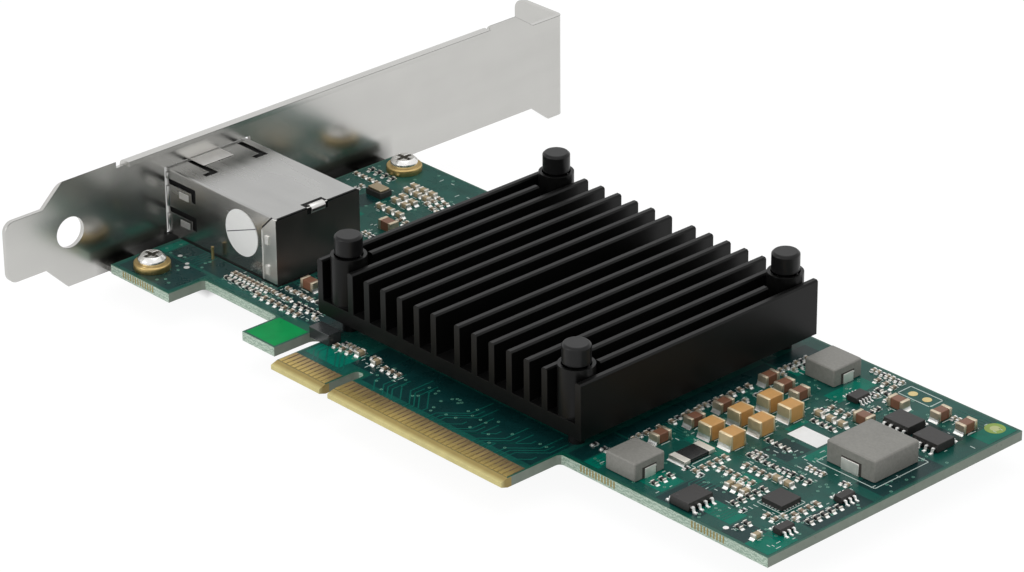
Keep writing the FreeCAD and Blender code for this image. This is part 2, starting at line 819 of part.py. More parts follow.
def jack_shield():
    outer = box(jack_front, jack_inner_rear, jack_low_y, jack_high_y, board_top_face, jack_top)
    long_tops = [edge for edge in edges_along(outer, 0) if edge.BoundBox.ZMin > jack_top - 1e-6]
    outer = outer.makeFillet(jack_edge_radius, long_tops)
    hollow = box(jack_front + jack_sheet, jack_inner_rear + 1, jack_low_y + jack_sheet,
                 jack_high_y - jack_sheet, board_top_face - 1, jack_top - jack_sheet)
    shell = outer.cut(hollow)
    cuts = [port_hollow(jack_front - 1, jack_front + 2, jack_fit)]
    cuts += [light_box(side, jack_front - 1, jack_front + 2, jack_fit) for side in (-1, 1)]
    start = bracket_inner_x + jack_slot_start
    for offset in jack_top_slots:
        y = jack_low_y + offset
        cuts.append(box(start, jack_slot_end, y, y + jack_slot_width, jack_top - 1, jack_top + 1))
        cuts.append(box(jack_slot_end - jack_slot_foot_width, jack_slot_end, y - jack_slot_foot,
                        y + jack_slot_width, jack_top - 1, jack_top + 1))
    for height in jack_side_slots:
        z = board_top_face + height
        for low, high in ((jack_low_y - 1, jack_low_y + 1), (jack_high_y - 1, jack_high_y + 1)):
            cuts.append(box(start, jack_slot_end, low, high, z, z + jack_side_slot_height))
            cuts.append(box(jack_slot_end - jack_slot_foot_width, jack_slot_end, low, high,
                            z - jack_slot_foot, z + jack_side_slot_height))
    cuts.append(rear_hook_notch())
    shell = shell.cut(cuts)
    return shell.fuse(shield_ridges() + shield_legs() + [shield_crease()]).removeSplitter()


def shield_ridges():
    """Rounded contact ridges that press on the bracket's window."""
    upper, lower = jack_side_slots
    spans = [
        (upper + jack_side_slot_height, jack_height - jack_ridge_end_gap),
        (lower + jack_side_slot_height, upper - jack_ridge_gap),
        (jack_ridge_end_gap, lower - jack_ridge_gap),
    ]
    ridges = []
    for low, high in spans:
        for y in (jack_low_y, jack_high_y):
            ridge = post(bracket_inner_x, y, board_top_face + low,
                         board_top_face + high, jack_ridge_radius)
            inside = box(bracket_inner_x - 2, bracket_inner_x + 2, jack_low_y + jack_sheet,
                         jack_high_y - jack_sheet, board_top_face, jack_top)
            ridges.append(ridge.cut(inside))
    return ridges


def shield_crease():
    """The raised crease across the middle of the shield's top, near the bracket."""
    low = jack_low_y + jack_top_slots[0] + jack_crease_inset
    high = jack_low_y + jack_top_slots[1] - jack_crease_inset
    return box(jack_crease_x, jack_crease_x + jack_crease_width, low, high,
               jack_top - jack_sheet / 2, jack_top + jack_crease_height)


def shield_legs():
    return [box(x, x + width, y, y + jack_sheet, board_top_face - shield_leg_length,
                board_top_face + 0.5) for x, y, width in shield_leg_spots()]


def rear_hook_notch():
    """Room for the rear cover's curled hook, in the shield's top and the tray's wall."""
    half = rear_hook_width / 2 + rear_hook_clearance
    return box(jack_rear - rear_notch_reach, jack_rear, jack_centre_y - half, jack_centre_y + half,
               jack_top - rear_notch_reach, jack_top + 1)


def jack_rear_cover():
    back = box(jack_inner_rear, jack_rear, jack_low_y, jack_high_y, board_top_face + jack_fit, jack_top)
    front = jack_inner_rear - rear_flap_reach
    low = board_top_face + rear_flap_floor
    pieces = [back]
    for outside, inside in ((jack_low_y - jack_sheet, jack_low_y), (jack_high_y + jack_sheet, jack_high_y)):
        points = [
            (front, outside, low), (jack_rear, outside, low), (jack_rear, outside, jack_top - 0.1),
            (front + rear_flap_slope, outside, jack_top - 0.1),
            (front, outside, jack_top - 0.1 - rear_flap_slope),
        ]
        pieces.append(prism(points, (0, inside - outside, 0)))
        reach = rear_dimple_height if outside > inside else -rear_dimple_height
        for height in rear_dimples:
            centre = Vector(front + rear_flap_reach * 0.42, outside, board_top_face + height)
            pieces.append(Part.makeCylinder(rear_dimple_radius, abs(reach), centre,
                                            Vector(0, reach / abs(reach), 0)))
        corner = box(jack_inner_rear, jack_rear, min(outside, inside), max(outside, inside),
                     low, jack_top - 0.1)
        pieces.append(corner)
    hook_low = jack_centre_y - rear_hook_width / 2
    hook_high = jack_centre_y + rear_hook_width / 2
    centre = Vector(jack_rear - rear_hook_setback, hook_low, jack_top - rear_hook_drop)
    along = Vector(0, 1, 0)
    curl = Part.makeCylinder(rear_hook_radius, rear_hook_width, centre, along)
    curl = curl.cut([
        Part.makeCylinder(rear_hook_radius - jack_sheet, rear_hook_width, centre, along),
        box(centre.x - rear_hook_radius, centre.x, hook_low, hook_high,
            centre.z - rear_hook_radius, centre.z),
    ])
    return pieces[0].fuse(pieces[1:] + [curl]).removeSplitter()


def jack_housing():
    gap = jack_fit
    body = box(housing_front, housing_rear, jack_low_y + jack_sheet + gap,
               jack_high_y - jack_sheet - gap, board_top_face + gap, jack_top - jack_sheet - gap)
    cuts = [port_hollow(housing_front - 1, housing_front + port_depth)]
    cuts += [light_box(side, housing_front - 1, housing_front + light_length) for side in (-1, 1)]
    half = plug_contact_width / 2 + gap
    for y in plug_contact_places():
        cuts.append(box(housing_front + 2, housing_rear + 1, y - half, y + half,
                        port_top - 0.2, port_top + plug_contact_thickness + gap))
    return body.cut(cuts).removeSplitter()


def plug_contact_places():
    start = jack_centre_y - (plug_contacts - 1) / 2 * plug_contact_pitch
    return [start + i * plug_contact_pitch for i in range(plug_contacts)]


def plug_contact(y):
    """A spring wire: flat in the housing's roof, then folded back into the port."""
    nose = housing_front + plug_contact_nose_setback
    tail = housing_rear
    end = housing_front + port_depth - plug_contact_free_end_gap
    thick = plug_contact_thickness
    points = [
        (tail, 0, port_top), (nose + thick, 0, port_top), (end, 0, port_top - plug_contact_drop + thick),
        (end, 0, port_top - plug_contact_drop), (nose, 0, port_top), (nose, 0, port_top + thick),
        (tail, 0, port_top + thick),
    ]
    wire = prism(points, (0, plug_contact_width, 0))
    wire.translate(Vector(0, y - plug_contact_width / 2, 0))
    return wire


def jack_plug_contacts():
    return group([plug_contact(y) for y in plug_contact_places()])


def jack_indicator_lights():
    lenses = []
    for side in (-1, 1):
        lenses.append(light_box(side, jack_front + 0.05, housing_front + light_length, -jack_fit))
    return group(lenses)


def magnetics_module():
    """The tray behind the port that carries the isolation coils."""
    gap = jack_fit
    low_y, high_y = jack_low_y + jack_sheet + gap, jack_high_y - jack_sheet - gap
    top = jack_top - jack_sheet - gap
    front, back = housing_rear + magnetics_gap, jack_inner_rear - gap
    tray = box(front, back, low_y, high_y, board_top_face + gap, top)
    wall = magnetics_wall
    pocket = box(front + wall, back - wall, low_y + wall, high_y - wall,
                 board_top_face + magnetics_floor, top + 1)
    return tray.cut([pocket, rear_hook_notch()] + [
        signal_pin(x, y, board_top_face - 1, board_top_face + magnetics_floor + 1)
        for x, y in signal_pin_spots()
    ])


def magnetics_coils():
    front = housing_rear + magnetics_gap + magnetics_wall
    back = jack_inner_rear - jack_fit - magnetics_wall
    low = board_top_face + magnetics_floor + signal_pin_tail
    coils = []
    for i in range(2):
        for j in range(3):
            x = (front + back) / 2 + (i - 0.5) * (2 * coil_outer_radius + coil_gap)
            y = jack_centre_y + (j - 1) * (2 * coil_outer_radius + coil_gap)
            ring = post(x, y, low, low + coil_height, coil_outer_radius)
            coils.append(ring.cut(post(x, y, low - 1, low + coil_height + 1, coil_inner_radius)))
    return group(coils)


def signal_pin(x, y, z0, z1):
    half = signal_pin_width / 2
    return box(x - half, x + half, y - half, y + half, z0, z1)


def jack_signal_pins():
    tail = -signal_pin_tail
    top = board_top_face + magnetics_floor + signal_pin_tail / 2
    return group([signal_pin(x, y, tail, top) for x, y in signal_pin_spots()])


def round_sticker():
    centre = Vector(sticker_x, jack_low_y, board_top_face + sticker_height)
    return Part.makeCylinder(sticker_radius, sticker_thickness, centre, Vector(0, -1, 0))


def ground_pin():
    return post(ground_pin_x, ground_pin_y, board_top_face, board_top_face + ground_pin_height,
                ground_pin_radius)


# ---------------------------------------------------------------- inductors
def inductor_core(x, y, size, height):
    half = size / 2
    low = board_top_face + inductor_stand_off
    block = box(x - half, x + half, y - half, y + half, low, board_top_face + height)
    upright = edges_along(block, 2)
    block = block.makeFillet(inductor_edge_radius, upright)
    top = [edge for edge in block.Edges if edge.BoundBox.ZMin > board_top_face + height - 1e-6]
    return block.makeChamfer(inductor_edge_radius * 0.5, top)


def inductor_terminals(x, y, size, height, axis):
    """Two strips that leave opposite sides and fold down to the board."""
    half = size / 2
    wide = size * inductor_terminal_width_share / 2
    thick = inductor_terminal_thickness
    top = board_top_face + height * inductor_terminal_height_share
    strips = []
    for side in (-1, 1):
        near, far = sorted((side * half, side * (half + thick)))
        upright = box(near, far, -wide, wide, board_top_face, top)
        inner, outer = sorted((side * (half - inductor_terminal_foot), side * (half + thick)))
        foot = box(inner, outer, -wide, wide, board_top_face, board_top_face + inductor_stand_off)
        strip = upright.fuse(foot).removeSplitter()
        if axis == "Y":
            strip.rotate(Vector(0, 0, 0), Vector(0, 0, 1), 90)
        strip.translate(Vector(x, y, 0))
        strips.append(strip)
    return strips


def small_inductor_cores():
    return group([inductor_core(x, y, small_inductor_size, small_inductor_height)
                  for x, y in small_inductor_spots])


def small_inductor_terminals():
    strips = []
    for x, y in small_inductor_spots:
        strips += inductor_terminals(x, y, small_inductor_size, small_inductor_height, "X")
    return group(strips)


def large_inductor_core():
    x, y = large_inductor_spot
    return inductor_core(x, y, large_inductor_size, large_inductor_height)


def large_inductor_terminals():
    x, y = large_inductor_spot
    return group(inductor_terminals(x, y, large_inductor_size, large_inductor_height, "Y"))


# ---------------------------------------------------------------- chip parts
def chip(spot, size):
    """The body and the two plated ends of one chip part."""
    x, y, axis = spot
    along, across, high = size
    end = along * chip_end_share
    grow = chip_end_plating
    low, top = board_top_face, board_top_face + high
    half, wide = along / 2, across / 2
    body = box(-half + end, half - end, -wide, wide, low + grow, top)
    left = box(-half, -half + end, -wide - grow, wide + grow, low, top + grow)
    right = box(half - end, half, -wide - grow, wide + grow, low, top + grow)
    solids = [body, left, right]
    for solid in solids:
        if axis == "Y":
            solid.rotate(Vector(0, 0, 0), Vector(0, 0, 1), 90)
        solid.translate(Vector(x, y, 0))
    return solids[0], solids[1:]


def chips(spots, size):
    """All bodies, then all ends, of one kind of chip part."""
    bodies, ends = [], []
    for spot in spots:
        body, pair = chip(spot, size)
        bodies.append(body)
        ends += pair
    return group(bodies), group(ends)


def row_spots(rows, counts):
    spots = []
    for (x, y, step_x, step_y, axis), count in zip(rows, counts):
        spots += [(x + i * step_x, y + i * step_y, axis) for i in range(count)]
    return spots


# ---------------------------------------------------------------- moulded chips
def gull_body(spot):
    x, y, package, pins, axis = spot
    along, across, pitch, height = package
    low, top = board_top_face + gull_stand_off, board_top_face + height
    half, wide = across / 2, along / 2
    draft = gull_body_draft
    middle = (low + top) / 2
    lower = [(-half + draft, -wide, low), (half - draft, -wide, low), (half, -wide, middle),
             (half - draft, -wide, top), (-half + draft, -wide, top), (-half, -wide, middle)]
    body = prism(lower, (0, along, 0))
    if axis == "Y":
        body.rotate(Vector(0, 0, 0), Vector(0, 0, 1), 90)
    body.translate(Vector(x, y, 0))
    return body


def gull_leads(spot):
    """Bent leads along both long sides of a gull-wing package."""
    x, y, package, pins, axis = spot
    along, across, pitch, height = package
    thick = gull_thickness
    middle = board_top_face + (gull_stand_off + height) / 2
    wide = pitch * gull_width_share
    leads = []
    for side in (-1, 1):
        edge = across / 2
        points = [
            (side * edge, 0, middle - thick / 2), (side * edge, 0, middle + thick / 2),
            (side * (edge + gull_foot * 0.55), 0, middle + thick / 2),
            (side * (edge + gull_foot * 0.75), 0, board_top_face + thick),
            (side * (edge + gull_foot * 1.4), 0, board_top_face + thick),
            (side * (edge + gull_foot * 1.4), 0, board_top_face),
            (side * (edge + gull_foot * 0.55), 0, board_top_face),
            (side * (edge + gull_foot * 0.35), 0, middle - thick / 2),
        ]
        for i in range(pins):
            lead = prism(points, (0, wide, 0))
            lead.translate(Vector(0, (i - (pins - 1) / 2) * pitch - wide / 2, 0))
            if axis == "Y":
                lead.rotate(Vector(0, 0, 0), Vector(0, 0, 1), 90)
            lead.translate(Vector(x, y, 0))
            leads.append(lead)
    return leads


def gull_bodies(spots):
    return group([gull_body(spot) for spot in spots])


def gull_lead_group(spots):
    leads = []
    for spot in spots:
        leads += gull_leads(spot)
    return group(leads)


def regulator_body():
    x, y = regulator_spot
    half = regulator_size / 2
    return box(x - half, x + half, y - half, y + half, board_top_face + gull_stand_off,
               board_top_face + regulator_height)


def regulator_pads():
    x, y = regulator_spot
    half = regulator_size / 2
    wide = regulator_pad_width / 2
    pitch = regulator_size / (regulator_pads_per_side + 1)
    low, top = board_top_face, board_top_face + gull_stand_off
    middle = regulator_centre_pad / 2
    pads = [box(x - middle, x + middle, y - middle, y + middle, low, top)]
    for i in range(regulator_pads_per_side):
        offset = (i - (regulator_pads_per_side - 1) / 2) * pitch
        for side in (-1, 1):
            near, far = sorted((side * (half - regulator_pad_inside), side * (half + regulator_pad_outside)))
            pads.append(box(x + near, x + far, y + offset - wide, y + offset + wide, low, top))
            pads.append(box(x + offset - wide, x + offset + wide, y + near, y + far, low, top))
    return group(pads)


def crystal_base():
    x, y = crystal_spot
    along, across = crystal_size
    return box(x - along / 2, x + along / 2, y - across / 2, y + across / 2, board_top_face,
               board_top_face + crystal_base_height)


def crystal_lid():
    x, y = crystal_spot
    along, across = (size - 2 * crystal_lid_margin for size in crystal_size)
    low = board_top_face + crystal_base_height
    return box(x - along / 2, x + along / 2, y - across / 2, y + across / 2, low,
               low + crystal_lid_height)


def clock_oscillator():
    x, y = oscillator_spot
    along, across, high = oscillator_size
    block = box(x - along / 2, x + along / 2, y - across / 2, y + across / 2, board_top_face,
                board_top_face + high)
    return block.makeFillet(0.2, edges_along(block, 2))


# ---------------------------------------------------------------- all nodes
def all_nodes():
    nodes = {
        "circuit_board": circuit_board(),
        "edge_contacts": edge_contacts(),
        "mounting_bracket": mounting_bracket(),
        "bracket_screws": bracket_screws(),
        "screw_washers": screw_washers(),
        "heat_sink": heat_sink(),
        "push_pins": push_pins(),
        "pin_springs": pin_springs(),
        "thermal_pad": thermal_pad(),
        "controller_substrate": controller_substrate(),
        "controller_lid": controller_lid(),
        "controller_solder_balls": controller_solder_balls(),
        "jack_shield": jack_shield(),
        "jack_rear_cover": jack_rear_cover(),
        "jack_housing": jack_housing(),
        "jack_plug_contacts": jack_plug_contacts(),
        "jack_indicator_lights": jack_indicator_lights(),
        "jack_magnetics_tray": magnetics_module(),
        "jack_isolation_coils": magnetics_coils(),
        "jack_signal_pins": jack_signal_pins(),
        "round_sticker": round_sticker(),
        "ground_pin": ground_pin(),
        "small_inductor_cores": small_inductor_cores(),
        "small_inductor_terminals": small_inductor_terminals(),
        "large_inductor_core": large_inductor_core(),
        "large_inductor_terminals": large_inductor_terminals(),
        "power_transistor_bodies": gull_bodies(transistor_spots),
        "power_transistor_leads": gull_lead_group(transistor_spots),
        "logic_chip_bodies": gull_bodies(logic_spots),
        "logic_chip_leads": gull_lead_group(logic_spots),
        "regulator_body": regulator_body(),
        "regulator_pads": regulator_pads(),
        "crystal_base": crystal_base(),
        "crystal_lid": crystal_lid(),
        "clock_oscillator": clock_oscillator(),
    }
    chip_sets = {
        "output_capacitor": (big_chip_spots, big_chip),
        "input_capacitor": (middle_chip_spots, middle_chip),
        "sense_resistor": ([sense_chip_spot], sense_chip),
        "filter_capacitor": (row_spots(small_chip_rows, small_chip_counts), small_chip),
        "bypass_capacitor": (row_spots(tiny_capacitor_rows, tiny_capacitor_counts), tiny_chip),
        "small_resistor": (row_spots(tiny_resistor_rows, tiny_resistor_counts), tiny_chip),
    }
    for name, (spots, size) in chip_sets.items():
        bodies, ends = chips(spots, size)
        nodes[name + "_bodies"] = bodies
        nodes[name + "_ends"] = ends
    return nodes


os.makedirs("parts", exist_ok=True)
for node_name, shape in all_nodes().items():
    shape.exportStep("parts/" + node_name + ".step")
    print(node_name, len(shape.Solids), round(shape.Volume, 3), shape.isValid())
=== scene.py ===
import math

import bmesh
import bpy
import numpy as np
from mathutils import Matrix, Vector


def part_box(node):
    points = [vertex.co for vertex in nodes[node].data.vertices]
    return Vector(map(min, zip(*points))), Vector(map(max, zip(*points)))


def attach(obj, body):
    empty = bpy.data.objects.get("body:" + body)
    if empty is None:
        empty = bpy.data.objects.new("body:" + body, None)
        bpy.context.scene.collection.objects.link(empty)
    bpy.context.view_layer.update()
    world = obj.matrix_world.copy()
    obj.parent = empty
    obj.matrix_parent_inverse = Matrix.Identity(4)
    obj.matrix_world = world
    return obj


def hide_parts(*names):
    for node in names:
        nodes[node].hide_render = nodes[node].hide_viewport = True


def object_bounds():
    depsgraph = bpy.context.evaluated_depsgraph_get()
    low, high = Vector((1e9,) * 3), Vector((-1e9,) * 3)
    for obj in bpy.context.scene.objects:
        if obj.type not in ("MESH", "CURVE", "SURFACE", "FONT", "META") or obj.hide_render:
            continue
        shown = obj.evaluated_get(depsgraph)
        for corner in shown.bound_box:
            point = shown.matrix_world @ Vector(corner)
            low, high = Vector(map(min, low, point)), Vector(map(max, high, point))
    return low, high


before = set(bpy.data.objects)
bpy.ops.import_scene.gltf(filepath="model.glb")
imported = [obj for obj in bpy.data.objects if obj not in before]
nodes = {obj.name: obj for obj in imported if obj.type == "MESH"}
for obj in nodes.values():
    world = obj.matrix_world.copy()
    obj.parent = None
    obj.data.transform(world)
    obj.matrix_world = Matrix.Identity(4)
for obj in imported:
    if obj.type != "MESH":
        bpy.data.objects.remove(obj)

cad_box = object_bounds()
scene = bpy.context.scene
MM = 0.001


# ---- camera, light and floor
# The card lies on a white table, seen from its connector side and well above it,
# with a long lens. The light is a white tent: even from all round, a little
# stronger from above and behind.
def placed(name, data):
    """A new object in the scene."""
    thing = bpy.data.objects.new(name, data)
    scene.collection.objects.link(thing)
    return thing


azimuth, elevation, roll = math.radians(47.2), math.radians(26.235), math.radians(-0.47)
aim = Vector((-0.85, 39.465, 5.0)) * MM
distance = 0.637
lens = bpy.data.cameras.new("card_camera")
lens.lens = 144.35
lens.clip_start, lens.clip_end = 0.05, 20.0
camera = placed("card_camera", lens)
turn = (Matrix.Rotation(azimuth, 4, "Z") @ Matrix.Rotation(math.pi / 2 - elevation, 4, "X")
        @ Matrix.Rotation(roll, 4, "Z"))
camera.matrix_world = Matrix.Translation(aim) @ turn @ Matrix.Translation((0, 0, distance))
scene.camera = camera
scene.view_settings.view_transform = "Standard"


def soft_lamp(name, place, size, watts):
    """A square area lamp that faces the middle of the card."""
    lamp = bpy.data.lights.new(name, "AREA")
    lamp.size, lamp.energy = size, watts
    holder = placed(name, lamp)
    holder.location = place
    holder.rotation_euler = (Vector((0.01, 0.03, 0)) - Vector(place)).to_track_quat("-Z", "Y").to_euler()


soft_lamp("tent_top", (-0.05, 0.15, 0.75), 0.6, 1.4)
soft_lamp("tent_front", (0.45, -0.50, 0.35), 0.4, 0.45)
soft_lamp("tent_left", (-0.25, -0.72, 0.40), 0.5, 1.75)


def add(tree, kind, inputs=None, **settings):
    """A new shader node with its settings. Each input takes a value, or is linked to a socket."""
    node = tree.nodes.new(kind if kind.startswith("NodeGroup") else "ShaderNode" + kind)
    for key, value in settings.items():
        setattr(node, key, value)
    for key, value in (inputs or {}).items():
        if isinstance(value, bpy.types.NodeSocket):
            tree.links.new(value, node.inputs[key])
        else:
            node.inputs[key].default_value = value
    return node


def maths(tree, operation, *terms):
    """The result of one math node, whose terms are numbers or sockets."""
    return add(tree, "Math", dict(enumerate(terms)), operation=operation).outputs[0]


def ramp(tree, value, start, end, low=0.0, high=1.0):
    """A value taken from the range start to end, and held there, to the range low to high."""
    return add(tree, "MapRange", {"Value": value, "From Min": start, "From Max": end,
                                  "To Min": low, "To Max": high}).outputs["Result"]


def own_place(tree):
    """The point's place on the object's own axes."""
    return add(tree, "TexCoord").outputs["Object"]


def split(tree, vector):
    """The X, Y and Z of a vector."""
    return add(tree, "SeparateXYZ", {0: vector}).outputs


def seen_or_plain(tree, plain, seen, out):
    """Camera, glossy and transmitted rays meet one shader, all others the plain one."""
    ray = add(tree, "LightPath").outputs
    first = maths(tree, "MAXIMUM", ray["Is Camera Ray"], ray["Is Glossy Ray"])
    meets = maths(tree, "MAXIMUM", first, ray["Is Transmission Ray"])
    choose = add(tree, "MixShader", {"Fac": meets, 1: plain.outputs[0], 2: seen.outputs[0]})
    add(tree, out, {"Surface": choose.outputs[0]})


paper_white = (1, 1, 1, 1)
world = bpy.data.worlds.new("white_tent")
scene.world = world
world.use_nodes = True
tent = world.node_tree
tent.nodes.clear()
even_light = add(tent, "Background", {"Color": paper_white, "Strength": 0.58})
white = add(tent, "Background", {"Color": paper_white, "Strength": 1.0})
seen_or_plain(tent, even_light, white, "OutputWorld")

floor_drop = 0.00005
floor_height = cad_box[0][2] - floor_drop
floor_mesh = bpy.data.meshes.new("table_top")
reach = 3.0
floor_mesh.from_pydata([(x * reach, y * reach, floor_height) for x, y in (
    (-1, -1), (1, -1), (1, 1), (-1, 1))], [], [(0, 1, 2, 3)])
table_top = placed("table_top", floor_mesh)
table_white = bpy.data.materials.new("table_white")
table_white.use_nodes = True
tree = table_white.node_tree
tree.nodes.clear()
floor_plain = add(tree, "BsdfDiffuse", {"Color": (0.8, 0.8, 0.8, 1)})
floor_dim = add(tree, "BsdfDiffuse", {"Color": (0.11, 0.11, 0.11, 1)})
# A painted shadow on the table where the board and the bracket close it in: within a rectangle
# under the card, the glow falls from full at its sides to almost none four millimetres inside.
full_glow, least_glow, glow_fall = 0.93, 0.03, 4.0 * MM
where = split(tree, own_place(tree))
depth = None
for axis, side, sign in (("X", -60.0, 1), ("X", -45.0, -1), ("Y", 14.0, 1), ("Y", 70.0, -1)):
    inward = maths(tree, "MULTIPLY_ADD", where[axis], sign, -sign * side * MM)
    depth = inward if depth is None else maths(tree, "MINIMUM", depth, inward)
painted_shadow_glow = ramp(tree, depth, 0.0, glow_fall, full_glow, least_glow)
floor_glow = add(tree, "Emission", {"Color": paper_white, "Strength": painted_shadow_glow})
floor_bright = add(tree, "AddShader", {0: floor_dim.outputs[0], 1: floor_glow.outputs[0]})
seen_or_plain(tree, floor_plain, floor_bright, "OutputMaterial")
floor_mesh.materials.append(table_white)


# ---- circuit board
# One routed panel of glass-fibre laminate, 1.6 mm thick, under a glossy
# teal-green mask. The bare fibre shows at the cut edges, and the mask is
# brighter where no copper lies behind it: along the edge and on the foot.
def grain_group():
    """Uneven grain on the object's own coordinates, fine and broad noise added together.

    Roughness = base + noise * spread, colour = colour * (1 + noise * tint), and the fine noise
    bumps the normal. Stretch lengthens the fine grain along each axis."""
    group = bpy.data.node_groups.new("fine_grain", "ShaderNodeTree")
    for way, sockets in (
            ("INPUT", {"Colour": "Color", "Tint": "Float", "Roughness": "Float", "Spread": "Float",
                       "Scale": "Float", "Relief": "Float", "Stretch": "Vector"}),
            ("OUTPUT", {"Colour": "Color", "Roughness": "Float", "Normal": "Vector"})):
        for label, kind in sockets.items():
            group.interface.new_socket(name=label, in_out=way, socket_type="NodeSocket" + kind)
    inside = add(group, "NodeGroupInput").outputs
    place = own_place(group)
    longer = add(group, "VectorMath", {0: place, 1: inside["Stretch"]}, operation="MULTIPLY")
    noise = add(group, "TexNoise", {"Vector": longer.outputs[0], "Scale": inside["Scale"],
                                    "Detail": 6.0}).outputs["Fac"]
    broad = add(group, "TexNoise", {"Vector": place, "Scale": 110.0, "Detail": 3.0}).outputs["Fac"]
    both = maths(group, "ADD", maths(group, "SUBTRACT", noise, 0.5), maths(group, "SUBTRACT", broad, 0.5))
    shade = maths(group, "MULTIPLY_ADD", both, inside["Tint"], 1.0)
    tinted = add(group, "VectorMath", {0: inside["Colour"], "Scale": shade}, operation="SCALE")
    bump = add(group, "Bump", {"Distance": 0.04 * MM, "Height": noise, "Strength": inside["Relief"]})
    rough = maths(group, "MULTIPLY_ADD", both, inside["Spread"], inside["Roughness"])
    add(group, "NodeGroupOutput", {"Colour": tinted.outputs[0], "Roughness": rough,
                                   "Normal": bump.outputs[0]})
    return group


fine_grain = grain_group()


def grained(name, colour, roughness, metallic=0.0, tint=0.15, spread=0.12, scale=900, relief=0.08,
            coat=0.0, specular=0.5, stretch=(1, 1, 1)):
    """A material whose colour, roughness and surface carry the fine grain."""
    material = bpy.data.materials.new(name)
    material.use_nodes = True
    tree = material.node_tree
    surface = tree.nodes["Principled BSDF"]
    for label, value in (("Metallic", metallic), ("Coat Weight", coat), ("Coat Roughness", 0.08),
                         ("Specular IOR Level", specular)):
        surface.inputs[label].default_value = value
    grain = add(tree, "Group", {
        "Colour": (*colour, 1), "Tint": tint, "Roughness": roughness, "Spread": spread, "Scale": scale,
        "Relief": relief, "Stretch": stretch}, node_tree=fine_grain, name="grain")
    for grain_label, label in (("Colour", "Base Color"), ("Roughness", "Roughness"), ("Normal", "Normal")):
        tree.links.new(grain.outputs[grain_label], surface.inputs[label])
    return material


def metal(name, colour, roughness, **more):
    """The same, as bare metal."""
    return grained(name, colour, roughness, metallic=1.0, **more)


def mixed(tree, share, a, b):
    """Colour a, turning to colour b as the share goes from 0 to 1. Either may be a socket."""
    a, b = (side if isinstance(side, bpy.types.NodeSocket) else (*side, 1) for side in (a, b))
    return add(tree, "Mix", {"Factor": share, "A": a, "B": b}, data_type="RGBA").outputs["Result"]


def coloured_by(material, share, a, b):
    """The same material, with its grain's colour mixed in the same way."""
    tree = material.node_tree
    tree.links.new(mixed(tree, share, a, b), tree.nodes["grain"].inputs["Colour"])
    return material


def finish_node(name, material):
    """Give a CAD node its material."""
    mesh = nodes[name].data
    mesh.materials.clear()
    mesh.materials.append(material)
    mesh.polygons.foreach_set("material_index", np.zeros(len(mesh.polygons), int))


def new_piece(name, points, faces, material):
    """A mesh object at the origin that rides with the card."""
    mesh = bpy.data.meshes.new(name)
    mesh.from_pydata(np.asarray(points).tolist(), [], faces)
    mesh.materials.append(material)
    piece = placed(name, mesh)
    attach(piece, "root")
    return piece


def prisms(name, ends, material):
    """Closed prisms, from the outlines of their two ends: an array (prism, end, corner, xyz)."""
    count, _, sides, _ = ends.shape
    base = np.arange(count)[:, None] * 2 * sides
    here = np.arange(sides)
    after = (here + 1) % sides
    walls = np.stack([base + here, base + after, base + sides + after, base + sides + here], axis=2)
    faces = walls.reshape(-1, 4).tolist() + (base + here[::-1]).tolist() + (base + sides + here).tolist()
    return new_piece(name, ends.reshape(-1, 3), faces, material)


def plates(name, boxes, material):
    """Closed boxes in one mesh, each given by two corners: rows of x0, y0, z0, x1, y1, z1."""
    pick = np.array([[(x, y, z) for x, y in ((0, 1), (3, 1), (3, 4), (0, 4))] for z in (2, 5)])
    return prisms(name, np.asarray(boxes, float).reshape(-1, 6)[:, pick], material)


def board_laminate():
    """Green mask on the two faces, bare fibre on the cut edges and yellow fibre on the bevel.

    A face belongs to the mask where its normal is upright, and to the bevel where it is cut
    and lies within two millimetres of the connector's tip."""
    material = grained("board_laminate", (0.01, 0.30, 0.17), 0.3, tint=0.3, spread=0.1, scale=700,
                       specular=0.3)
    tree = material.node_tree
    facing = split(tree, add(tree, "NewGeometry").outputs["True Normal"])
    place = own_place(tree)
    from_tip = split(tree, place)["Y"]
    layers = add(tree, "TexWave", {"Vector": place, "Scale": 620.0, "Distortion": 9.0,
                                   "Detail": 4.0, "Detail Scale": 3.0},
                 bands_direction="Z").outputs["Fac"]
    fibre = mixed(tree, layers, (0.27, 0.38, 0.30), (0.52, 0.63, 0.53))
    # Cut edges that face along X, at the card's two ends, take a darker colour: painted shade.
    painted_shade_ends = maths(tree, "GREATER_THAN", maths(tree, "ABSOLUTE", facing["X"]), 0.5)
    cut_edge = mixed(tree, painted_shade_ends, fibre, (0.21, 0.25, 0.205))
    yellow = mixed(tree, ramp(tree, from_tip, 0.05 * MM, 0.75 * MM), (0.64, 0.56, 0.24), (0.34, 0.25, 0.075))
    edge = mixed(tree, maths(tree, "LESS_THAN", from_tip, 2.0 * MM), cut_edge, yellow)
    on_face = maths(tree, "GREATER_THAN", maths(tree, "ABSOLUTE", facing["Z"]), 0.97)
    return coloured_by(material, on_face, edge, (0.004, 0.088, 0.058))


finish_node("circuit_board", board_laminate())

board_low, board_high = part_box("circuit_board")
board_top = board_high.z
mask_lift = 0.012 * MM
margin = 0.4 * MM
lower_edge = 11.65 * MM
foot_tip = 3.5 * MM
foot_right = -41.2 * MM
recess_edge = 10.7 * MM
tab_left, tab_right = -12.15 * MM, 39.15 * MM
mask_start = 5.0 * MM
key_half, key_top = 0.95 * MM, 7.65 * MM
retention_left, retention_right = -23.2 * MM, -15.6 * MM
retention_tip = 3.55 * MM
slot_top = 11.9 * MM


def slabs(x0, y0, x1, y1, height):
    """Boxes that stand on the board, from arrays of x and y, as plates() takes them."""
    return np.stack(np.broadcast_arrays(x0, y0, board_top, x1, y1, board_top + height), axis=1)


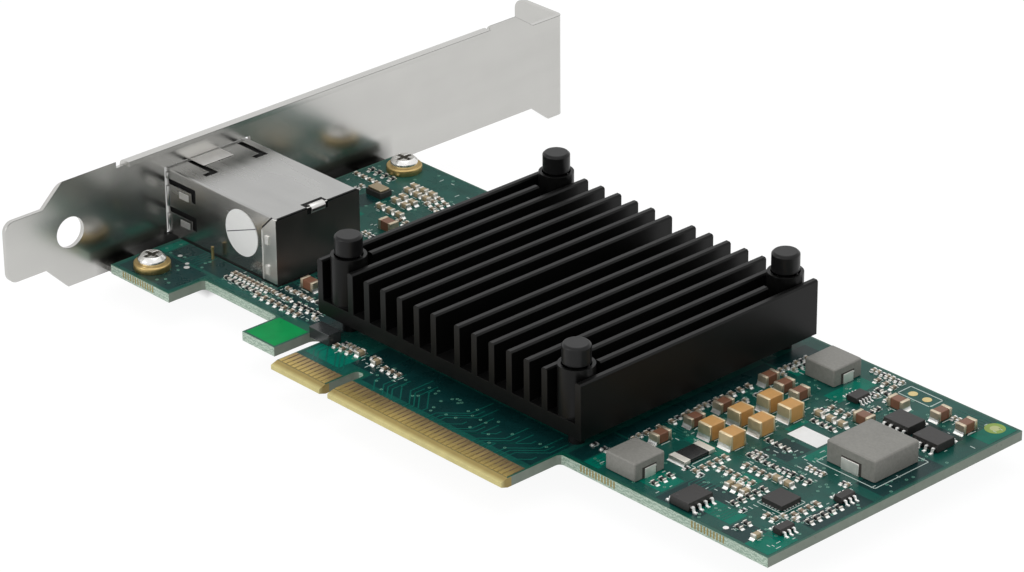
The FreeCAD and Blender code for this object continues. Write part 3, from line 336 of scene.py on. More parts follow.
def films(name, areas, lift, material, both_faces=False):
    """Thin layers on the board's upper face, or on both, from rows of x0, y0, x1, y1."""
    layers = slabs(*np.asarray(areas, float).T, lift)
    if both_faces:
        under = layers.copy()
        under[:, 2], under[:, 5] = board_low.z - lift, board_low.z
        layers = np.concatenate([layers, under])
    plates(name, layers, material)


copper = [
    (board_low.x + margin, slot_top + margin, board_high.x - margin, board_high.y - margin),
    (board_low.x + margin, foot_tip + margin, foot_right - margin, slot_top + margin),
    (foot_right - margin, recess_edge + margin, retention_left + margin, slot_top + margin),
    (tab_left + margin, mask_start, -key_half - margin, slot_top + margin),
    (key_half + margin, mask_start, tab_right - margin, slot_top + margin),
    (-key_half - margin, key_top + margin, key_half + margin, slot_top + margin),
]
copper_mask = grained("mask_over_copper", (0.006, 0.078, 0.062), 0.28, tint=0.8,
                      scale=420, specular=0.16)
films("board_copper_areas", copper, mask_lift, copper_mask, both_faces=True)

# The foot that the socket's latch holds has no copper: light comes through its green mask.
foot_mask = grained("mask_over_bare_fibre", (0.002, 0.29, 0.075), 0.3, tint=0.35, scale=500, specular=0.05)
films("retention_foot_mask", [(retention_left + margin, retention_tip + margin, retention_right - margin,
                               slot_top - 1.2 * MM)], mask_lift, foot_mask)

# Bare yellow fibre between the gold contacts, down to the bevel, on both faces.
bare_fibre = grained("bare_fibre", (0.13, 0.085, 0.04), 0.5, tint=0.5, scale=1200)
tip_fibre = grained("tip_fibre", (0.26, 0.19, 0.055), 0.45, tint=0.4, scale=1200)
bare = [(tab_left + 0.3 * MM, -key_half - 0.3 * MM), (key_half + 0.3 * MM, tab_right - 0.3 * MM)]
tip_start, tip_end = 1.32 * MM, 2.7 * MM
films("connector_bare_fibre", [(x0, tip_end, x1, mask_start) for x0, x1 in bare], mask_lift, bare_fibre,
      both_faces=True)
films("connector_tip_fibre", [(x0, tip_start, x1, tip_end) for x0, x1 in bare], mask_lift, tip_fibre,
      both_faces=True)

# Wider copper fills under the same mask catch the light a little differently. The dark ones in a
# strip beside the heat sink's right side, X 39.8 to 43.8 mm, are a painted shadow of the sink.
chance = np.random.default_rng(11)
fill_mask = grained("mask_over_fill", (0.001, 0.158, 0.108), 0.28, tint=0.6, scale=420,
                    specular=0.08)
shadow_and_dark_fill_mask = grained("mask_over_dark_fill_and_shadow", (0.004, 0.034, 0.034), 0.28, tint=0.6, scale=420,
                         specular=0.16)
fill_lift = 0.02 * MM
light_fills = np.array([
    (43.2, 12.5, 46.2, 21.5), (50.6, 14.2, 57.4, 18.9), (64.4, 14.6, 70.6, 18.2), (75.8, 12.2, 80.3, 18.4),
    (76.5, 58.6, 80.2, 64.8), (56.4, 40.6, 57.4, 44.9), (64.2, 36.2, 66.6, 49.2), (53.2, 52.4, 56.4, 60.8),
    (44.0, 54.2, 46.2, 62.4), (-55.0, 12.6, -53.2, 30.0), (-30.0, 36.0, -26.5, 38.0),
    (-55.0, 40.0, -42.0, 45.0), (-28.6, 55.6, -18.0, 62.0), (61.8, 24.2, 65.2, 27.0),
    (48.3, 27.8, 56.2, 29.6), (-11.4, 6.2, -3.6, 11.2),
]) * MM
shadow_and_dark_fills = np.array([
    (57.8, 12.6, 66.2, 21.2), (58.4, 33.6, 63.6, 38.8), (66.2, 50.6, 76.6, 57.4), (74.6, 36.0, 80.1, 49.0),
    (-54.8, 4.3, -42.2, 12.2), (-52.8, 12.9, -34.2, 17.2), (-48.0, 46.4, -44.2, 50.2),
    (-30.2, 20.4, -18.4, 33.8), (-3.5, 8.6, 1.5, 16.0), (1.6, 6.2, 38.6, 16.0), (-30.6, 12.6, -12.0, 20.0),
    (71.0, 12.3, 75.6, 16.8), (76.6, 22.0, 80.2, 34.0), (39.8, 22.2, 43.8, 53.6), (39.8, 12.6, 42.9, 21.8),
    (39.8, 54.0, 43.6, 62.6),
]) * MM
films("board_light_fills", light_fills, fill_lift, fill_mask)
films("board_dark_fills_and_shadow", shadow_and_dark_fills, fill_lift * 0.8, shadow_and_dark_fill_mask)


def ribbons(name, paths, width):
    """Closed strips flat on the board that follow paths given as an array (strip, point, xy).

    At each point the strip is half a width to each side, along the mean of the normals of the
    two runs that meet there, lengthened so that the run keeps its width round the corner."""
    runs = np.diff(paths, axis=1)
    runs = runs / np.linalg.norm(runs, axis=2, keepdims=True)
    normals = np.stack([-runs[..., 1], runs[..., 0]], axis=2)
    meeting = np.pad(normals, ((0, 0), (1, 1), (0, 0)), mode="edge")
    before, after = meeting[:, :-1], meeting[:, 1:]
    mean = before + after
    mean = mean / (1 + (before * after).sum(axis=2, keepdims=True))
    left, right_side = paths + mean * width / 2, paths - mean * width / 2
    count, steps = paths.shape[:2]
    ring = np.stack([right_side, left, left, right_side], axis=2)
    top = board_top + 0.03 * MM
    heights = np.broadcast_to([board_top, board_top, top, top], (count, steps, 4))[..., None]
    points = np.concatenate([ring, heights], axis=3).reshape(-1, 3)
    base = (np.arange(count)[:, None, None] * steps + np.arange(steps - 1)[None, :, None]) * 4
    side = np.arange(4)
    after_side = (side + 1) % 4
    walls = np.stack([base + side, base + after_side, base + 4 + after_side, base + 4 + side], axis=3)
    first = np.arange(count)[:, None] * steps * 4
    starts = first + side[::-1]
    ends = first + (steps - 1) * 4 + side
    faces = np.concatenate([walls.reshape(-1, 4), starts, ends])
    new_piece(name, points, faces.tolist(), track_mask)


def island_boxes(name):
    """Lowest and highest corner of every separate solid in a CAD node, as an array (solid, 2, xyz).

    Corners at the same place are one point, and points joined by an edge take the lower of
    their two labels until nothing changes."""
    mesh = nodes[name].data
    place, label = np.unique(np.round([point.co for point in mesh.vertices], 7), axis=0, return_inverse=True)
    edges = label.reshape(-1)[np.array([edge.vertices for edge in mesh.edges])]
    mark = np.arange(len(place))
    while True:
        lower = np.minimum(mark[edges[:, 0]], mark[edges[:, 1]])
        fresh = mark.copy()
        np.minimum.at(fresh, edges[:, 0], lower)
        np.minimum.at(fresh, edges[:, 1], lower)
        fresh = fresh[fresh]
        if (fresh == mark).all():
            break
        mark = fresh
    islands = [place[mark == one] for one in np.unique(mark)]
    return np.array([(island.min(axis=0), island.max(axis=0)) for island in islands])


# Tracks fan out from the contacts, turn through 45 degrees and run up under the heat sink.
contacts = island_boxes("edge_contacts")
upper = contacts[contacts[:, 1, 2] > board_top]
contact_x = np.sort((upper[:, 0, 0] + upper[:, 1, 0]) / 2)
contact_end = upper[:, 1, 1].max()
order = np.arange(len(contact_x))
lean = np.where(contact_x < 17 * MM, -1.0, 1.0) * (2.2 + (order // 5 % 3) * 0.7) * MM
start_y = contact_end + (0.5 + (order // 5 % 3) * 0.9) * MM
path_x = np.stack([contact_x, contact_x, contact_x + lean, contact_x + lean], axis=1)
path_y = np.stack([np.full(len(order), contact_end - 0.1 * MM), start_y, start_y + np.abs(lean),
                   start_y + np.abs(lean) + (1.0 + (order * 7 % 5) * 0.9) * MM], axis=1)
fan_out = np.stack([path_x, path_y], axis=2)
keep = (path_x.max(axis=1) < tab_right - 0.5 * MM) & (path_x.min(axis=1) > tab_left + 0.5 * MM)
keep &= (np.abs(path_x).min(axis=1) > 1.8 * MM) & (order % 5 != 1)
track_mask = grained("mask_over_tracks", (0.006, 0.105, 0.082), 0.28, tint=0.5, scale=600, specular=0.16)
ribbons("connector_tracks", fan_out[keep], 0.22 * MM)


def stepped_tracks(count, x0, y0, across, along, pitch, jog):
    """Parallel tracks: each runs straight, jogs at 45 degrees and runs on, one pitch apart."""
    offset = np.arange(count)[:, None] * pitch
    line = np.array([(0, 0), (across * 0.4, along * 0.4), (across * 0.4 + jog[0], along * 0.4 + jog[1]),
                     (across, jog[1]) if across else (jog[0], along)])
    return ((x0, y0) + offset[:, None] + line) * MM


track_sets = np.concatenate([stepped_tracks(*row) for row in (
    (8, -30.9, 20.9, 13.2, 0, (0, 1.55), (1.2, 1.2)),
    (6, -30.6, 44.2, 12.8, 0, (0, 1.1), (1.0, 1.0)),
    (1, -54.6, 31.0, 0, 16.5, (0, 0), (0.6, 0.6)),
    (7, 43.0, 26.8, 12.8, 0, (0, 0.62), (0.8, 0.8)),
    (6, 58.2, 22.0, 0, -7.6, (0.7, 0), (0.9, -0.9)),
    (5, 66.6, 14.8, 0, 7.0, (0.62, 0), (0.7, 0.7)),
    (6, 57.4, 29.6, 11.0, 0, (0, 0.55), (0.7, 0.7)),
    (5, 61.0, 47.0, 0, 10.5, (0.65, 0), (0.9, 0.9)),
    (4, 70.0, 61.4, 8.6, 0, (0, 0.7), (0.6, 0.6)),
    (4, 74.0, 15.6, 5.0, 0, (0, 0.7), (0.6, 0.6)),
    (7, -40.0, 11.8, 12.0, 0, (0, 0.5), (0.6, 0.6)),
    (5, -49.0, 13.0, 0, 4.0, (0.7, 0), (0.5, 0.5)),
    (6, 44.2, 13.2, 0, 5.6, (0.6, 0), (0.5, 0.5)),
    (5, 48.4, 33.6, 0, 2.8, (0.6, 0), (0.4, 0.4)),
)])
ribbons("board_tracks", track_sets, 0.2 * MM)


def posts(name, centres, radius, z0, z1, sides, material):
    """Upright prisms: each ring is the radius times (cos, sin) of equal turns."""
    turn = np.arange(sides) / sides * 2 * np.pi
    radius = np.broadcast_to(radius, len(centres))
    ring = centres[:, None] + radius[:, None, None] * np.stack([np.cos(turn), np.sin(turn)], axis=1)
    ends = [np.concatenate([ring, np.full(ring.shape[:2] + (1,), z)], axis=2) for z in (z0, z1)]
    prisms(name, np.stack(ends, axis=1), material)


def dots(name, centres, radius, height, sides, material):
    """Low posts on the board, with radius and height in millimetres."""
    posts(name, centres, np.asarray(radius) * MM, board_top, board_top + height * MM, sides, material)


# Plated holes join the layers: a pale ring under the mask with a dark middle.
fields = (
    (43.0, 12.8, 80.0, 64.4, 230), (-54.6, 36.0, -18.0, 64.2, 90), (-40.0, 12.2, -18.0, 19.6, 60),
    (-30.0, 20.0, -18.0, 36.0, 34), (2.0, 6.2, 37.0, 12.4, 34), (-54.6, 5.0, -42.6, 16.8, 22),
    (-11.0, 9.0, -2.0, 12.6, 8))
holes = np.concatenate([
    np.stack([chance.uniform(x0, x1, n), chance.uniform(y0, y1, n)], axis=1)
    for x0, y0, x1, y1, n in fields]) * MM
via_ring = grained("via_ring", (0.10, 0.30, 0.22), 0.3, tint=0.4)
via_hole = grained("via_hole", (0.004, 0.03, 0.03), 0.4, tint=0.4)
dots("board_vias", holes, 0.26, 0.034, 8, via_ring)
dots("board_via_middles", holes, 0.12, 0.04, 6, via_hole)

# Gold test pads, two of them in a printed box near the far corner, and a round fiducial.
pad_gold = metal("pad_gold", (0.62, 0.50, 0.24), 0.4, tint=0.3)
pad_places = np.array([(62.0, 62.45), (64.72, 62.53), (-23.6, 57.8), (-28.4, 41.8)]) * MM
dots("test_pads", pad_places, [0.75, 0.75, 0.5, 0.5], 0.045, 16, pad_gold)
pad_tin = metal("pad_tin", (0.84, 0.83, 0.81), 0.5, tint=0.2)
tin_places = np.array([(70.9, 13.5), (-46.6, 11.5), (-47.6, 12.4), (46.4, 61.9), (-50.6, 13.4),
                       (61.0, 17.6)]) * MM
dots("tinned_pads", tin_places, [0.45, 0.5, 0.35, 0.4, 0.4, 0.35], 0.045, 16, pad_tin)
fiducial = np.array([(77.6, 62.97)]) * MM
clear_mask = grained("mask_clearing", (0.26, 0.38, 0.06), 0.4, tint=0.4, scale=500, specular=0.3)
dots("fiducial_clearing", fiducial, 1.6, 0.036, 24, clear_mask)
dot_tin = grained("fiducial_tin", (0.50, 0.54, 0.24), 0.5, tint=0.3)
dots("fiducial_dot", fiducial, 0.8, 0.045, 16, dot_tin)

# Short upright gold strips stand along three stretches of the cut edge.
def edge_ticks(x0, x1, y):
    """Gold strips a pitch apart up a lower edge, all in millimetres."""
    pitch = 0.62
    x = np.arange(x0, x1, pitch)
    return np.stack(np.broadcast_arrays(x, y - 0.03, board_low.z / MM + 0.35, x + pitch * 0.42, y + 0.2,
                                        board_top / MM - 0.12), axis=1)


edge_brass = grained("edge_brass", (0.30, 0.23, 0.06), 0.5, tint=0.6, scale=1500)
plates("edge_plating", np.concatenate([
    edge_ticks(-52.8, -44.8, foot_tip / MM), edge_ticks(43.4, 50.4, lower_edge / MM),
    edge_ticks(65.9, 72.2, lower_edge / MM)]) * MM, edge_brass)


# ---- edge contacts
# Hard gold on copper, one strip a millimetre on each face of the connector,
# worn a little duller where it slides into the socket.
def hard_gold():
    """Gold that is browner towards the mask: the colour runs from Y = 1.3 mm to Y = 5 mm."""
    material = metal("contact_gold", (0.64, 0.49, 0.20), 0.4, tint=0.25, spread=0.2,
                     scale=1500, stretch=(1, 0.15, 1))
    tree = material.node_tree
    share = ramp(tree, split(tree, own_place(tree))["Y"], 1.3 * MM, 5.0 * MM)
    return coloured_by(material, share, (0.56, 0.42, 0.14), (0.33, 0.24, 0.125))


finish_node("edge_contacts", hard_gold())


# ---- mounting bracket
# One stamped and folded sheet of steel, bright nickel plated: nearly a mirror,
# with faint rolling marks along its length and softened edges.
def rounded(piece, width, segments=2, limit=30.0):
    """Bevel edges that turn by more than the limit by a width in millimetres, and shade them smooth."""
    bevel = piece.modifiers.new("edge_rounding", "BEVEL")
    bevel.width, bevel.segments = width * MM, segments
    bevel.limit_method, bevel.angle_limit = "ANGLE", math.radians(limit)
    piece.data.polygons.foreach_set("use_smooth", np.ones(len(piece.data.polygons), bool))
    piece.modifiers.new("edge_shading", "WEIGHTED_NORMAL").keep_sharp = True


def softened(name, material, width, segments=2, limit=35.0):
    """The same solids as a CAD node, with loose triangles merged, flat neighbours joined and
    every sharp edge rounded."""
    piece = new_piece(name + "_dressed", [], [], material)
    work = bmesh.new()
    work.from_mesh(nodes[name].data)
    bmesh.ops.remove_doubles(work, verts=work.verts, dist=1e-7)
    bmesh.ops.dissolve_limit(work, angle_limit=math.radians(1.0), verts=work.verts, edges=work.edges,
                             delimit={"NORMAL"})
    work.to_mesh(piece.data)
    work.free()
    piece.data.polygons.foreach_set("material_index", np.zeros(len(piece.data.polygons), int))
    rounded(piece, width, segments, limit)
    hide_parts(name)


def bright_nickel():
    """Nickel with a painted dark reflection along its bends and painted shade beside the board.

    The share of dark is the larger of two: the product of the normal's X and Z, taken from 0.12
    to 0.26, and, along the board's width, the height taken from 4.5 mm down to 1 mm."""
    material = metal("bracket_nickel", (0.54, 0.535, 0.515), 0.235, tint=0.12, spread=0.08,
                     scale=260, relief=0.035, stretch=(1, 0.12, 1))
    tree = material.node_tree
    facing = split(tree, add(tree, "NewGeometry").outputs["Normal"])
    where = split(tree, own_place(tree))
    # Painted dark reflection at the bends, where the normal leans out along X and up; painted shade on the
    # lower part beside the board.
    bend_reflection = ramp(tree, maths(tree, "MULTIPLY", facing["X"], facing["Z"]), 0.12, 0.26)
    beside = maths(tree, "MULTIPLY", ramp(tree, where["Y"], 2.5 * MM, 6.5 * MM),
                   ramp(tree, where["Y"], 66.0 * MM, 62.0 * MM))
    shaded = maths(tree, "MULTIPLY", beside, ramp(tree, where["Z"], 4.5 * MM, 1.0 * MM, high=0.85))
    dark = maths(tree, "MAXIMUM", bend_reflection, shaded)
    return coloured_by(material, dark, (0.54, 0.535, 0.515), (0.012, 0.012, 0.011))


softened("mounting_bracket", bright_nickel(), 0.2, segments=3)


# ---- bracket screws and washers
# Two pan-head machine screws, bright nickel plated, on yellow zinc washers,
# hold the bracket's ears under the board.
def recessed_nickel():
    """Nickel with painted shade inside the cross recesses.

    Dark where a point lies within 1.65 mm of a screw's axis and at least 0.1 mm under its top."""
    material = metal("screw_nickel", (0.78, 0.77, 0.75), 0.24, spread=0.1)
    tree = material.node_tree
    place = own_place(tree)
    flat = add(tree, "VectorMath", {0: place, 1: (1, 1, 0)}, operation="MULTIPLY").outputs[0]
    screws = island_boxes("bracket_screws")
    away = [add(tree, "VectorMath", {0: flat, 1: (float(x), float(y), 0)},
                operation="DISTANCE").outputs["Value"] for x, y in screws[:2, :, :2].mean(axis=1)]
    inside = maths(tree, "LESS_THAN", maths(tree, "MINIMUM", *away), 1.65 * MM)
    under_top = maths(tree, "LESS_THAN", split(tree, place)["Z"], float(screws[:, 1, 2].max()) - 0.1 * MM)
    # The dark inside the recesses is painted shade.
    dark = maths(tree, "MULTIPLY", inside, under_top)
    return coloured_by(material, dark, (0.78, 0.77, 0.75), (0.40, 0.39, 0.365))


screw_nickel = recessed_nickel()
washer_zinc = metal("washer_yellow_zinc", (0.52, 0.38, 0.16), 0.38, tint=0.3, spread=0.2)
softened("bracket_screws", screw_nickel, 0.12, segments=3, limit=30.0)
softened("screw_washers", washer_zinc, 0.05)


# ---- heat sink, pins and pad
# Extruded and machined aluminium, satin black anodised. Its fin edges are
# rounded by tumbling and catch the light. Four sprung plastic pins hold it.
anodised = grained("black_anodised", (0.0022, 0.0022, 0.0021), 0.36, tint=0.4, scale=1400,
                   relief=0.1, specular=0.19)
softened("heat_sink", anodised, 0.11)
pin_nylon = grained("pin_plastic", (0.006, 0.006, 0.0062), 0.34, tint=0.3, spread=0.1, scale=700,
                    relief=0.1, specular=0.24)
softened("push_pins", pin_nylon, 0.16, segments=3, limit=25.0)
finish_node("pin_springs", metal("spring_steel", (0.06, 0.06, 0.06), 0.35, tint=0.2))
finish_node("thermal_pad", grained("thermal_compound", (0.30, 0.31, 0.33), 0.7, scale=500, relief=0.3))


# ---- controller package
# A ball-grid package under the sink: green laminate, plated lid, solder balls.
finish_node("controller_substrate", grained("package_laminate", (0.02, 0.12, 0.05), 0.35))
finish_node("controller_lid", metal("package_lid", (0.55, 0.55, 0.54), 0.25))
solder = metal("solder", (0.84, 0.84, 0.82), 0.42, tint=0.25, spread=0.25, scale=1300,
               relief=0.2)
finish_node("controller_solder_balls", solder)


# ---- network jack
# A moulded port inside a folded shield of satin tin-plated sheet, with slots
# cut for its spring fingers and a rear cover that clips over both sides.
tin = metal("jack_metal", (0.42, 0.42, 0.41), 0.25, tint=0.2, spread=0.14, scale=420,
            relief=0.05, stretch=(0.15, 1, 1))
softened("jack_shield", tin, 0.035, limit=40.0)


def cover_plating():
    """The rear cover, lit and shaded by painting: bright where its flaps face sideways or up, and a darker,
    warmer painted shade on its back.

    The back is where the normal points within 14 degrees of the card's far end."""
    material = metal("cover_metal", (0.38, 0.38, 0.37), 0.36, tint=0.2, spread=0.14,
                     scale=420, relief=0.05, stretch=(1, 1, 0.15))
    tree = material.node_tree
    facing = split(tree, add(tree, "NewGeometry").outputs["True Normal"])
    shaded_back = maths(tree, "GREATER_THAN", facing["X"], 0.97)
    return coloured_by(material, shaded_back, (0.66, 0.65, 0.63), (0.22, 0.185, 0.178))


cover_tin = cover_plating()
softened("jack_rear_cover", cover_tin, 0.07, limit=40.0)
# The free ends of the side's spring fingers are bent out; bright plates on the shield's side and top stand
# for their painted highlights.
finger_highlight_tin = metal("finger_highlight_metal", (0.80, 0.79, 0.77), 0.5, tint=0.2)
shield_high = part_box("jack_shield")[1]
side_y = 17.79 * MM
plates("side_finger_tip_highlights", [(x0, side_y - 0.09 * MM, z0, x1, side_y + 0.01 * MM, z1) for x0, x1, z0, z1 in
                            np.array([(-55.7, -53.4, 8.65, 9.75), (-55.6, -53.3, 3.75, 4.85)]) * MM],
       finger_highlight_tin)
plates("top_finger_tip_highlight", [(-60.6 * MM, 22.4 * MM, shield_high.z - 0.05 * MM, -55.0 * MM, 28.6 * MM,
                           shield_high.z + 0.03 * MM)], finger_highlight_tin)

# The cover's flap has a rolled edge and two pressed dimples, drawn as bright plates: painted
# highlights. Dark plates are painted shade in the gaps where the cover meets the shield: along the
# top, round its hook and beside the flap's cut corner. Another runs along the foot, where the sheet
# stands just off the board.
cover_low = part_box("jack_rear_cover")[0]
flap_y = 17.54 * MM
highlight_tin = metal("highlight_tin", (0.86, 0.85, 0.82), 0.5)
plates("cover_flap_edge_highlight", [(cover_low.x - 0.01 * MM, flap_y - 0.02 * MM, cover_low.z + 0.15 * MM,
                            cover_low.x + 0.34 * MM, flap_y + 0.02 * MM, 10.2 * MM)],
       highlight_tin)
plates("cover_flap_dimple_highlights", [(x0, flap_y - 0.22 * MM, z0, x1, flap_y + 0.01 * MM, z1) for x0, x1, z0, z1 in
                              np.array([(-33.95, -33.05, 8.2, 9.6), (-33.95, -33.05, 3.0, 4.5)]) * MM],
       highlight_tin)
gap_shade = grained("gap_shade", (0.006, 0.006, 0.006), 0.6, tint=0.3, specular=0.1)
plates("cover_seam_shade", np.array([
    (-31.72, 17.95, 12.84, -31.335, 24.1, 13.02), (-31.72, 28.3, 12.84, -31.335, 34.5, 13.02),
    (-33.1, 24.1, 12.99, -31.72, 28.4, 13.015), (-31.40, 24.1, 11.9, -31.345, 28.3, 12.9),
    (-55.6, 17.45, 1.575, -35.0, 17.80, 1.61), (-35.0, 17.25, 1.575, -31.4, 17.55, 1.61),
    (-31.4, 17.25, 1.575, -31.0, 35.1, 1.61),
]) * MM, gap_shade)
corner_shade = plates("cover_corner_shade", np.array([(-1.75, 17.76, -0.16, 1.75, 17.80, 0.16)]) * MM,
                    gap_shade)
corner_shade.data.transform(Matrix.Translation((-33.72 * MM, 0, 11.72 * MM))
                          @ Matrix.Rotation(math.radians(-45), 4, "Y"))
finish_node("jack_housing", grained("jack_plastic", (0.004, 0.004, 0.004), 0.6, relief=0.15, specular=0.15))
finish_node("jack_plug_contacts", metal("plug_contact_gold", (0.78, 0.58, 0.26), 0.25))
finish_node("jack_indicator_lights", grained("light_lens", (0.55, 0.62, 0.52), 0.2, coat=0.4, scale=500))
finish_node("jack_magnetics_tray", grained("tray_plastic", (0.015, 0.015, 0.015), 0.5, relief=0.15))
finish_node("jack_isolation_coils", grained("ferrite", (0.03, 0.028, 0.027), 0.5, relief=0.3))
finish_node("jack_signal_pins", metal("tinned_pin", (0.62, 0.62, 0.61), 0.3))
finish_node("ground_pin", metal("ground_pin_gold", (0.75, 0.55, 0.25), 0.3))

# A blank round paper sticker on the shield's side, with one ruled line across.
paper = grained("sticker_paper", (0.86, 0.86, 0.845), 0.6, tint=0.05, scale=1500, relief=0.25)
softened("round_sticker", paper, 0.02)
sticker_low, sticker_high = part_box("round_sticker")
ink = grained("sticker_ink", (0.05, 0.05, 0.06), 0.6, tint=0.2)
middle = (sticker_low + sticker_high) / 2
half_rule = (sticker_high.x - sticker_low.x) / 2 - 0.12 * MM
rule = plates("sticker_rule", [(-half_rule, -0.012 * MM, -0.07 * MM, half_rule, 0, 0.07 * MM)], ink)
rule.data.transform(Matrix.Translation((middle.x, sticker_low.y, middle.z + 0.5 * MM))
                    @ Matrix.Rotation(math.radians(-20.7), 4, "Y"))


# ---- inductors
# Pressed grey iron powder over a flat coil, with tinned strips folded up
# two of its sides. The pressing leaves a fine sparkle and soft edges.
powder = grained("inductor_grey", (0.225, 0.22, 0.20), 0.42, tint=0.5, spread=0.2, scale=2200, relief=0.5,
                 specular=0.45)
softened("small_inductor_cores", powder, 0.28, segments=3)
softened("large_inductor_core", powder, 0.32, segments=3)
strip = metal("tinned_terminal", (0.80, 0.78, 0.74), 0.52, tint=0.25, spread=0.2)
softened("small_inductor_terminals", strip, 0.1)
softened("large_inductor_terminals", strip, 0.1)
# Each strip lies in a shallow recess of the block, drawn as a dark plate of painted shade, and its
# folded top edge carries a bright plate, a painted highlight.
recess_shade = grained("recess_shade", (0.05, 0.045, 0.04), 0.6, tint=0.3, specular=0.2)
small_cores = island_boxes("small_inductor_cores")
middles = small_cores[:, :, 1].mean(axis=1)
recesses = [(high[0] - 0.01 * MM, mid - 1.55 * MM, low[2],
             high[0] + 0.015 * MM, mid + 1.3 * MM, low[2] + 1.75 * MM)
            for (low, high), mid in zip(small_cores, middles)]
coil_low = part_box("large_inductor_core")[0]
strip_low, strip_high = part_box("large_inductor_terminals")
recesses.append((strip_low.x - 0.05 * MM, coil_low.y - 0.015 * MM, 1.7 * MM, strip_high.x + 0.45 * MM,
                 coil_low.y + 0.01 * MM, strip_high.z + 0.25 * MM))
plates("inductor_recess_shades", recesses, recess_shade)
fold_highlights = [(high[0] + 0.13 * MM, mid - 1.15 * MM, 2.95 * MM, high[0] + 0.165 * MM, mid + 1.15 * MM, 3.2 * MM)
         for (low, high), mid in zip(small_cores, middles)]
fold_highlights.append((strip_low.x + 0.1 * MM, strip_low.y - 0.015 * MM, strip_high.z - 0.35 * MM,
              strip_high.x - 0.1 * MM, strip_low.y + 0.02 * MM, strip_high.z - 0.05 * MM))
plates("inductor_fold_highlights", fold_highlights, highlight_tin)


# ---- chip parts and their solder
# Fired ceramic blocks with matt tin caps on both ends. Each cap is held by a
# hollow fillet of bright solder on its pad.
end_tin, warm_tin, dull_tin = (
    metal(name, colour, 0.5, tint=tint, spread=0.2, scale=1500, relief=0.2) for name, colour, tint in (
        ("chip_plating", (0.70, 0.67, 0.61), 0.2), ("warm_plating", (0.78, 0.65, 0.43), 0.25),
        ("dull_plating", (0.58, 0.50, 0.38), 0.25)))
chip_kinds = {
    # slot, colour, roughness, rounding, end caps, and the gap and width of the bars printed beside
    "output_capacitor": ("capacitor_tan", (0.60, 0.32, 0.10), 0.42, 0.14, warm_tin, 0.3, 0.14),
    "input_capacitor": ("capacitor_brown", (0.20, 0.085, 0.045), 0.45, 0.12, dull_tin, 0.34, 0.14),
    "sense_resistor": ("resistor_black", (0.012, 0.012, 0.012), 0.25, 0.1, end_tin, 0.4, 0.16),
    "filter_capacitor": ("capacitor_pale", (0.42, 0.33, 0.20), 0.45, 0.07, end_tin, 0.28, 0.13),
    "bypass_capacitor": ("capacitor_pale", (0.24, 0.18, 0.12), 0.45, 0.05, end_tin, 0.2, 0.09),
    "small_resistor": ("resistor_black", (0.015, 0.015, 0.015), 0.3, 0.04, end_tin, 0.2, 0.09),
}


def chip_ends(kind):
    """Each end cap's box, and the whole chip's box beside it, matched by the nearest body."""
    bodies, ends = island_boxes(kind + "_bodies"), island_boxes(kind + "_ends")
    gap = np.linalg.norm(ends.mean(axis=1)[:, None] - bodies.mean(axis=1)[None], axis=2)
    return ends, bodies[gap.argmin(axis=1)]


def facing_out(ends, bodies):
    """Whether each end lies along X from its chip's middle, and the sign of that direction."""
    out = ends.mean(axis=1)[:, :2] - bodies.mean(axis=1)[:, :2]
    along = np.abs(out[:, 0]) > np.abs(out[:, 1])
    return along, np.sign(np.where(along, out[:, 0], out[:, 1]))


def fillets(name, ends, bodies):
    """Hollow solder wedges outside every chip end.

    Across the wedge, distance = reach * (1 - sin a) and height = rise * (1 - cos a), for a from
    0 at the toe to 90 degrees at the cap, so it is steep at the cap and flat at the toe."""
    a = np.linspace(0, np.pi / 2, 5)
    along, sign = facing_out(ends, bodies)
    each, axis = np.arange(len(ends)), np.where(along, 0, 1)
    face = ends[each, np.where(sign > 0, 1, 0), axis][:, None]
    tall = (ends[:, 1, 2] - ends[:, 0, 2])[:, None]
    rise, reach = tall * 0.45, np.minimum(0.42 * MM, tall * 0.9)
    sink = 0.02 * MM
    sign = sign[:, None]
    far = np.concatenate([face + sign * (reach * (1 - np.sin(a)) - sink), face - sign * sink], axis=1)
    height = np.concatenate([board_top + rise * (1 - np.cos(a)) + mask_lift, np.full_like(face, board_top)],
                            axis=1)
    sides = ends[each, :, 1 - axis] + np.array([sink, -sink])
    far, sides, height = np.broadcast_arrays(far[:, None], sides[:, :, None], height[:, None])
    x, y = np.where(along[:, None, None], (far, sides), (sides, far))
    outline = np.stack([x, y, height], axis=3)
    turned = (sign > 0) == along[:, None]
    prisms(name, np.where(turned[..., None, None], outline[:, :, ::-1], outline), solder)


def narrow_bands(kind, ends, bodies, band, material, rounding):
    """Ceramic that stands a hair proud of its tin and leaves only a narrow band of it at each end."""
    blocks = np.unique(np.round(bodies.reshape(len(bodies), 6), 7), axis=0).reshape(-1, 2, 3)
    away = np.linalg.norm(ends.mean(axis=1)[None] - blocks.mean(axis=1)[:, None], axis=2)
    sides = away.argsort(axis=1)[:, :2]
    low, high = ends[sides].min(axis=(1, 2)), ends[sides].max(axis=(1, 2))
    along = facing_out(ends[sides[:, 1]], ends[sides[:, 0]])[0][:, None]
    proud = 0.015 * MM
    grow = np.where(along, np.array([-band, proud, proud]), np.array([proud, -band, proud]))
    low, high = low - grow, high + grow
    low[:, 2] += 2 * proud
    piece = plates(kind + "_ceramic_blocks", np.concatenate([low, high], axis=1), material)
    rounded(piece, rounding)
    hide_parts(kind + "_bodies")


for kind, (slot, colour, rough, rounding, end_finish, *_) in chip_kinds.items():
    ceramic = grained(kind + "_ceramic", colour, rough, tint=0.3, spread=0.1, scale=1100, relief=0.25)
    ends, bodies = chip_ends(kind)
    if kind == "output_capacitor":
        narrow_bands(kind, ends, bodies, 0.3 * MM, ceramic, rounding)
    else:
        softened(kind + "_bodies", ceramic, rounding)
    softened(kind + "_ends", end_finish, rounding)
    fillets(kind + "_solder", ends, bodies)

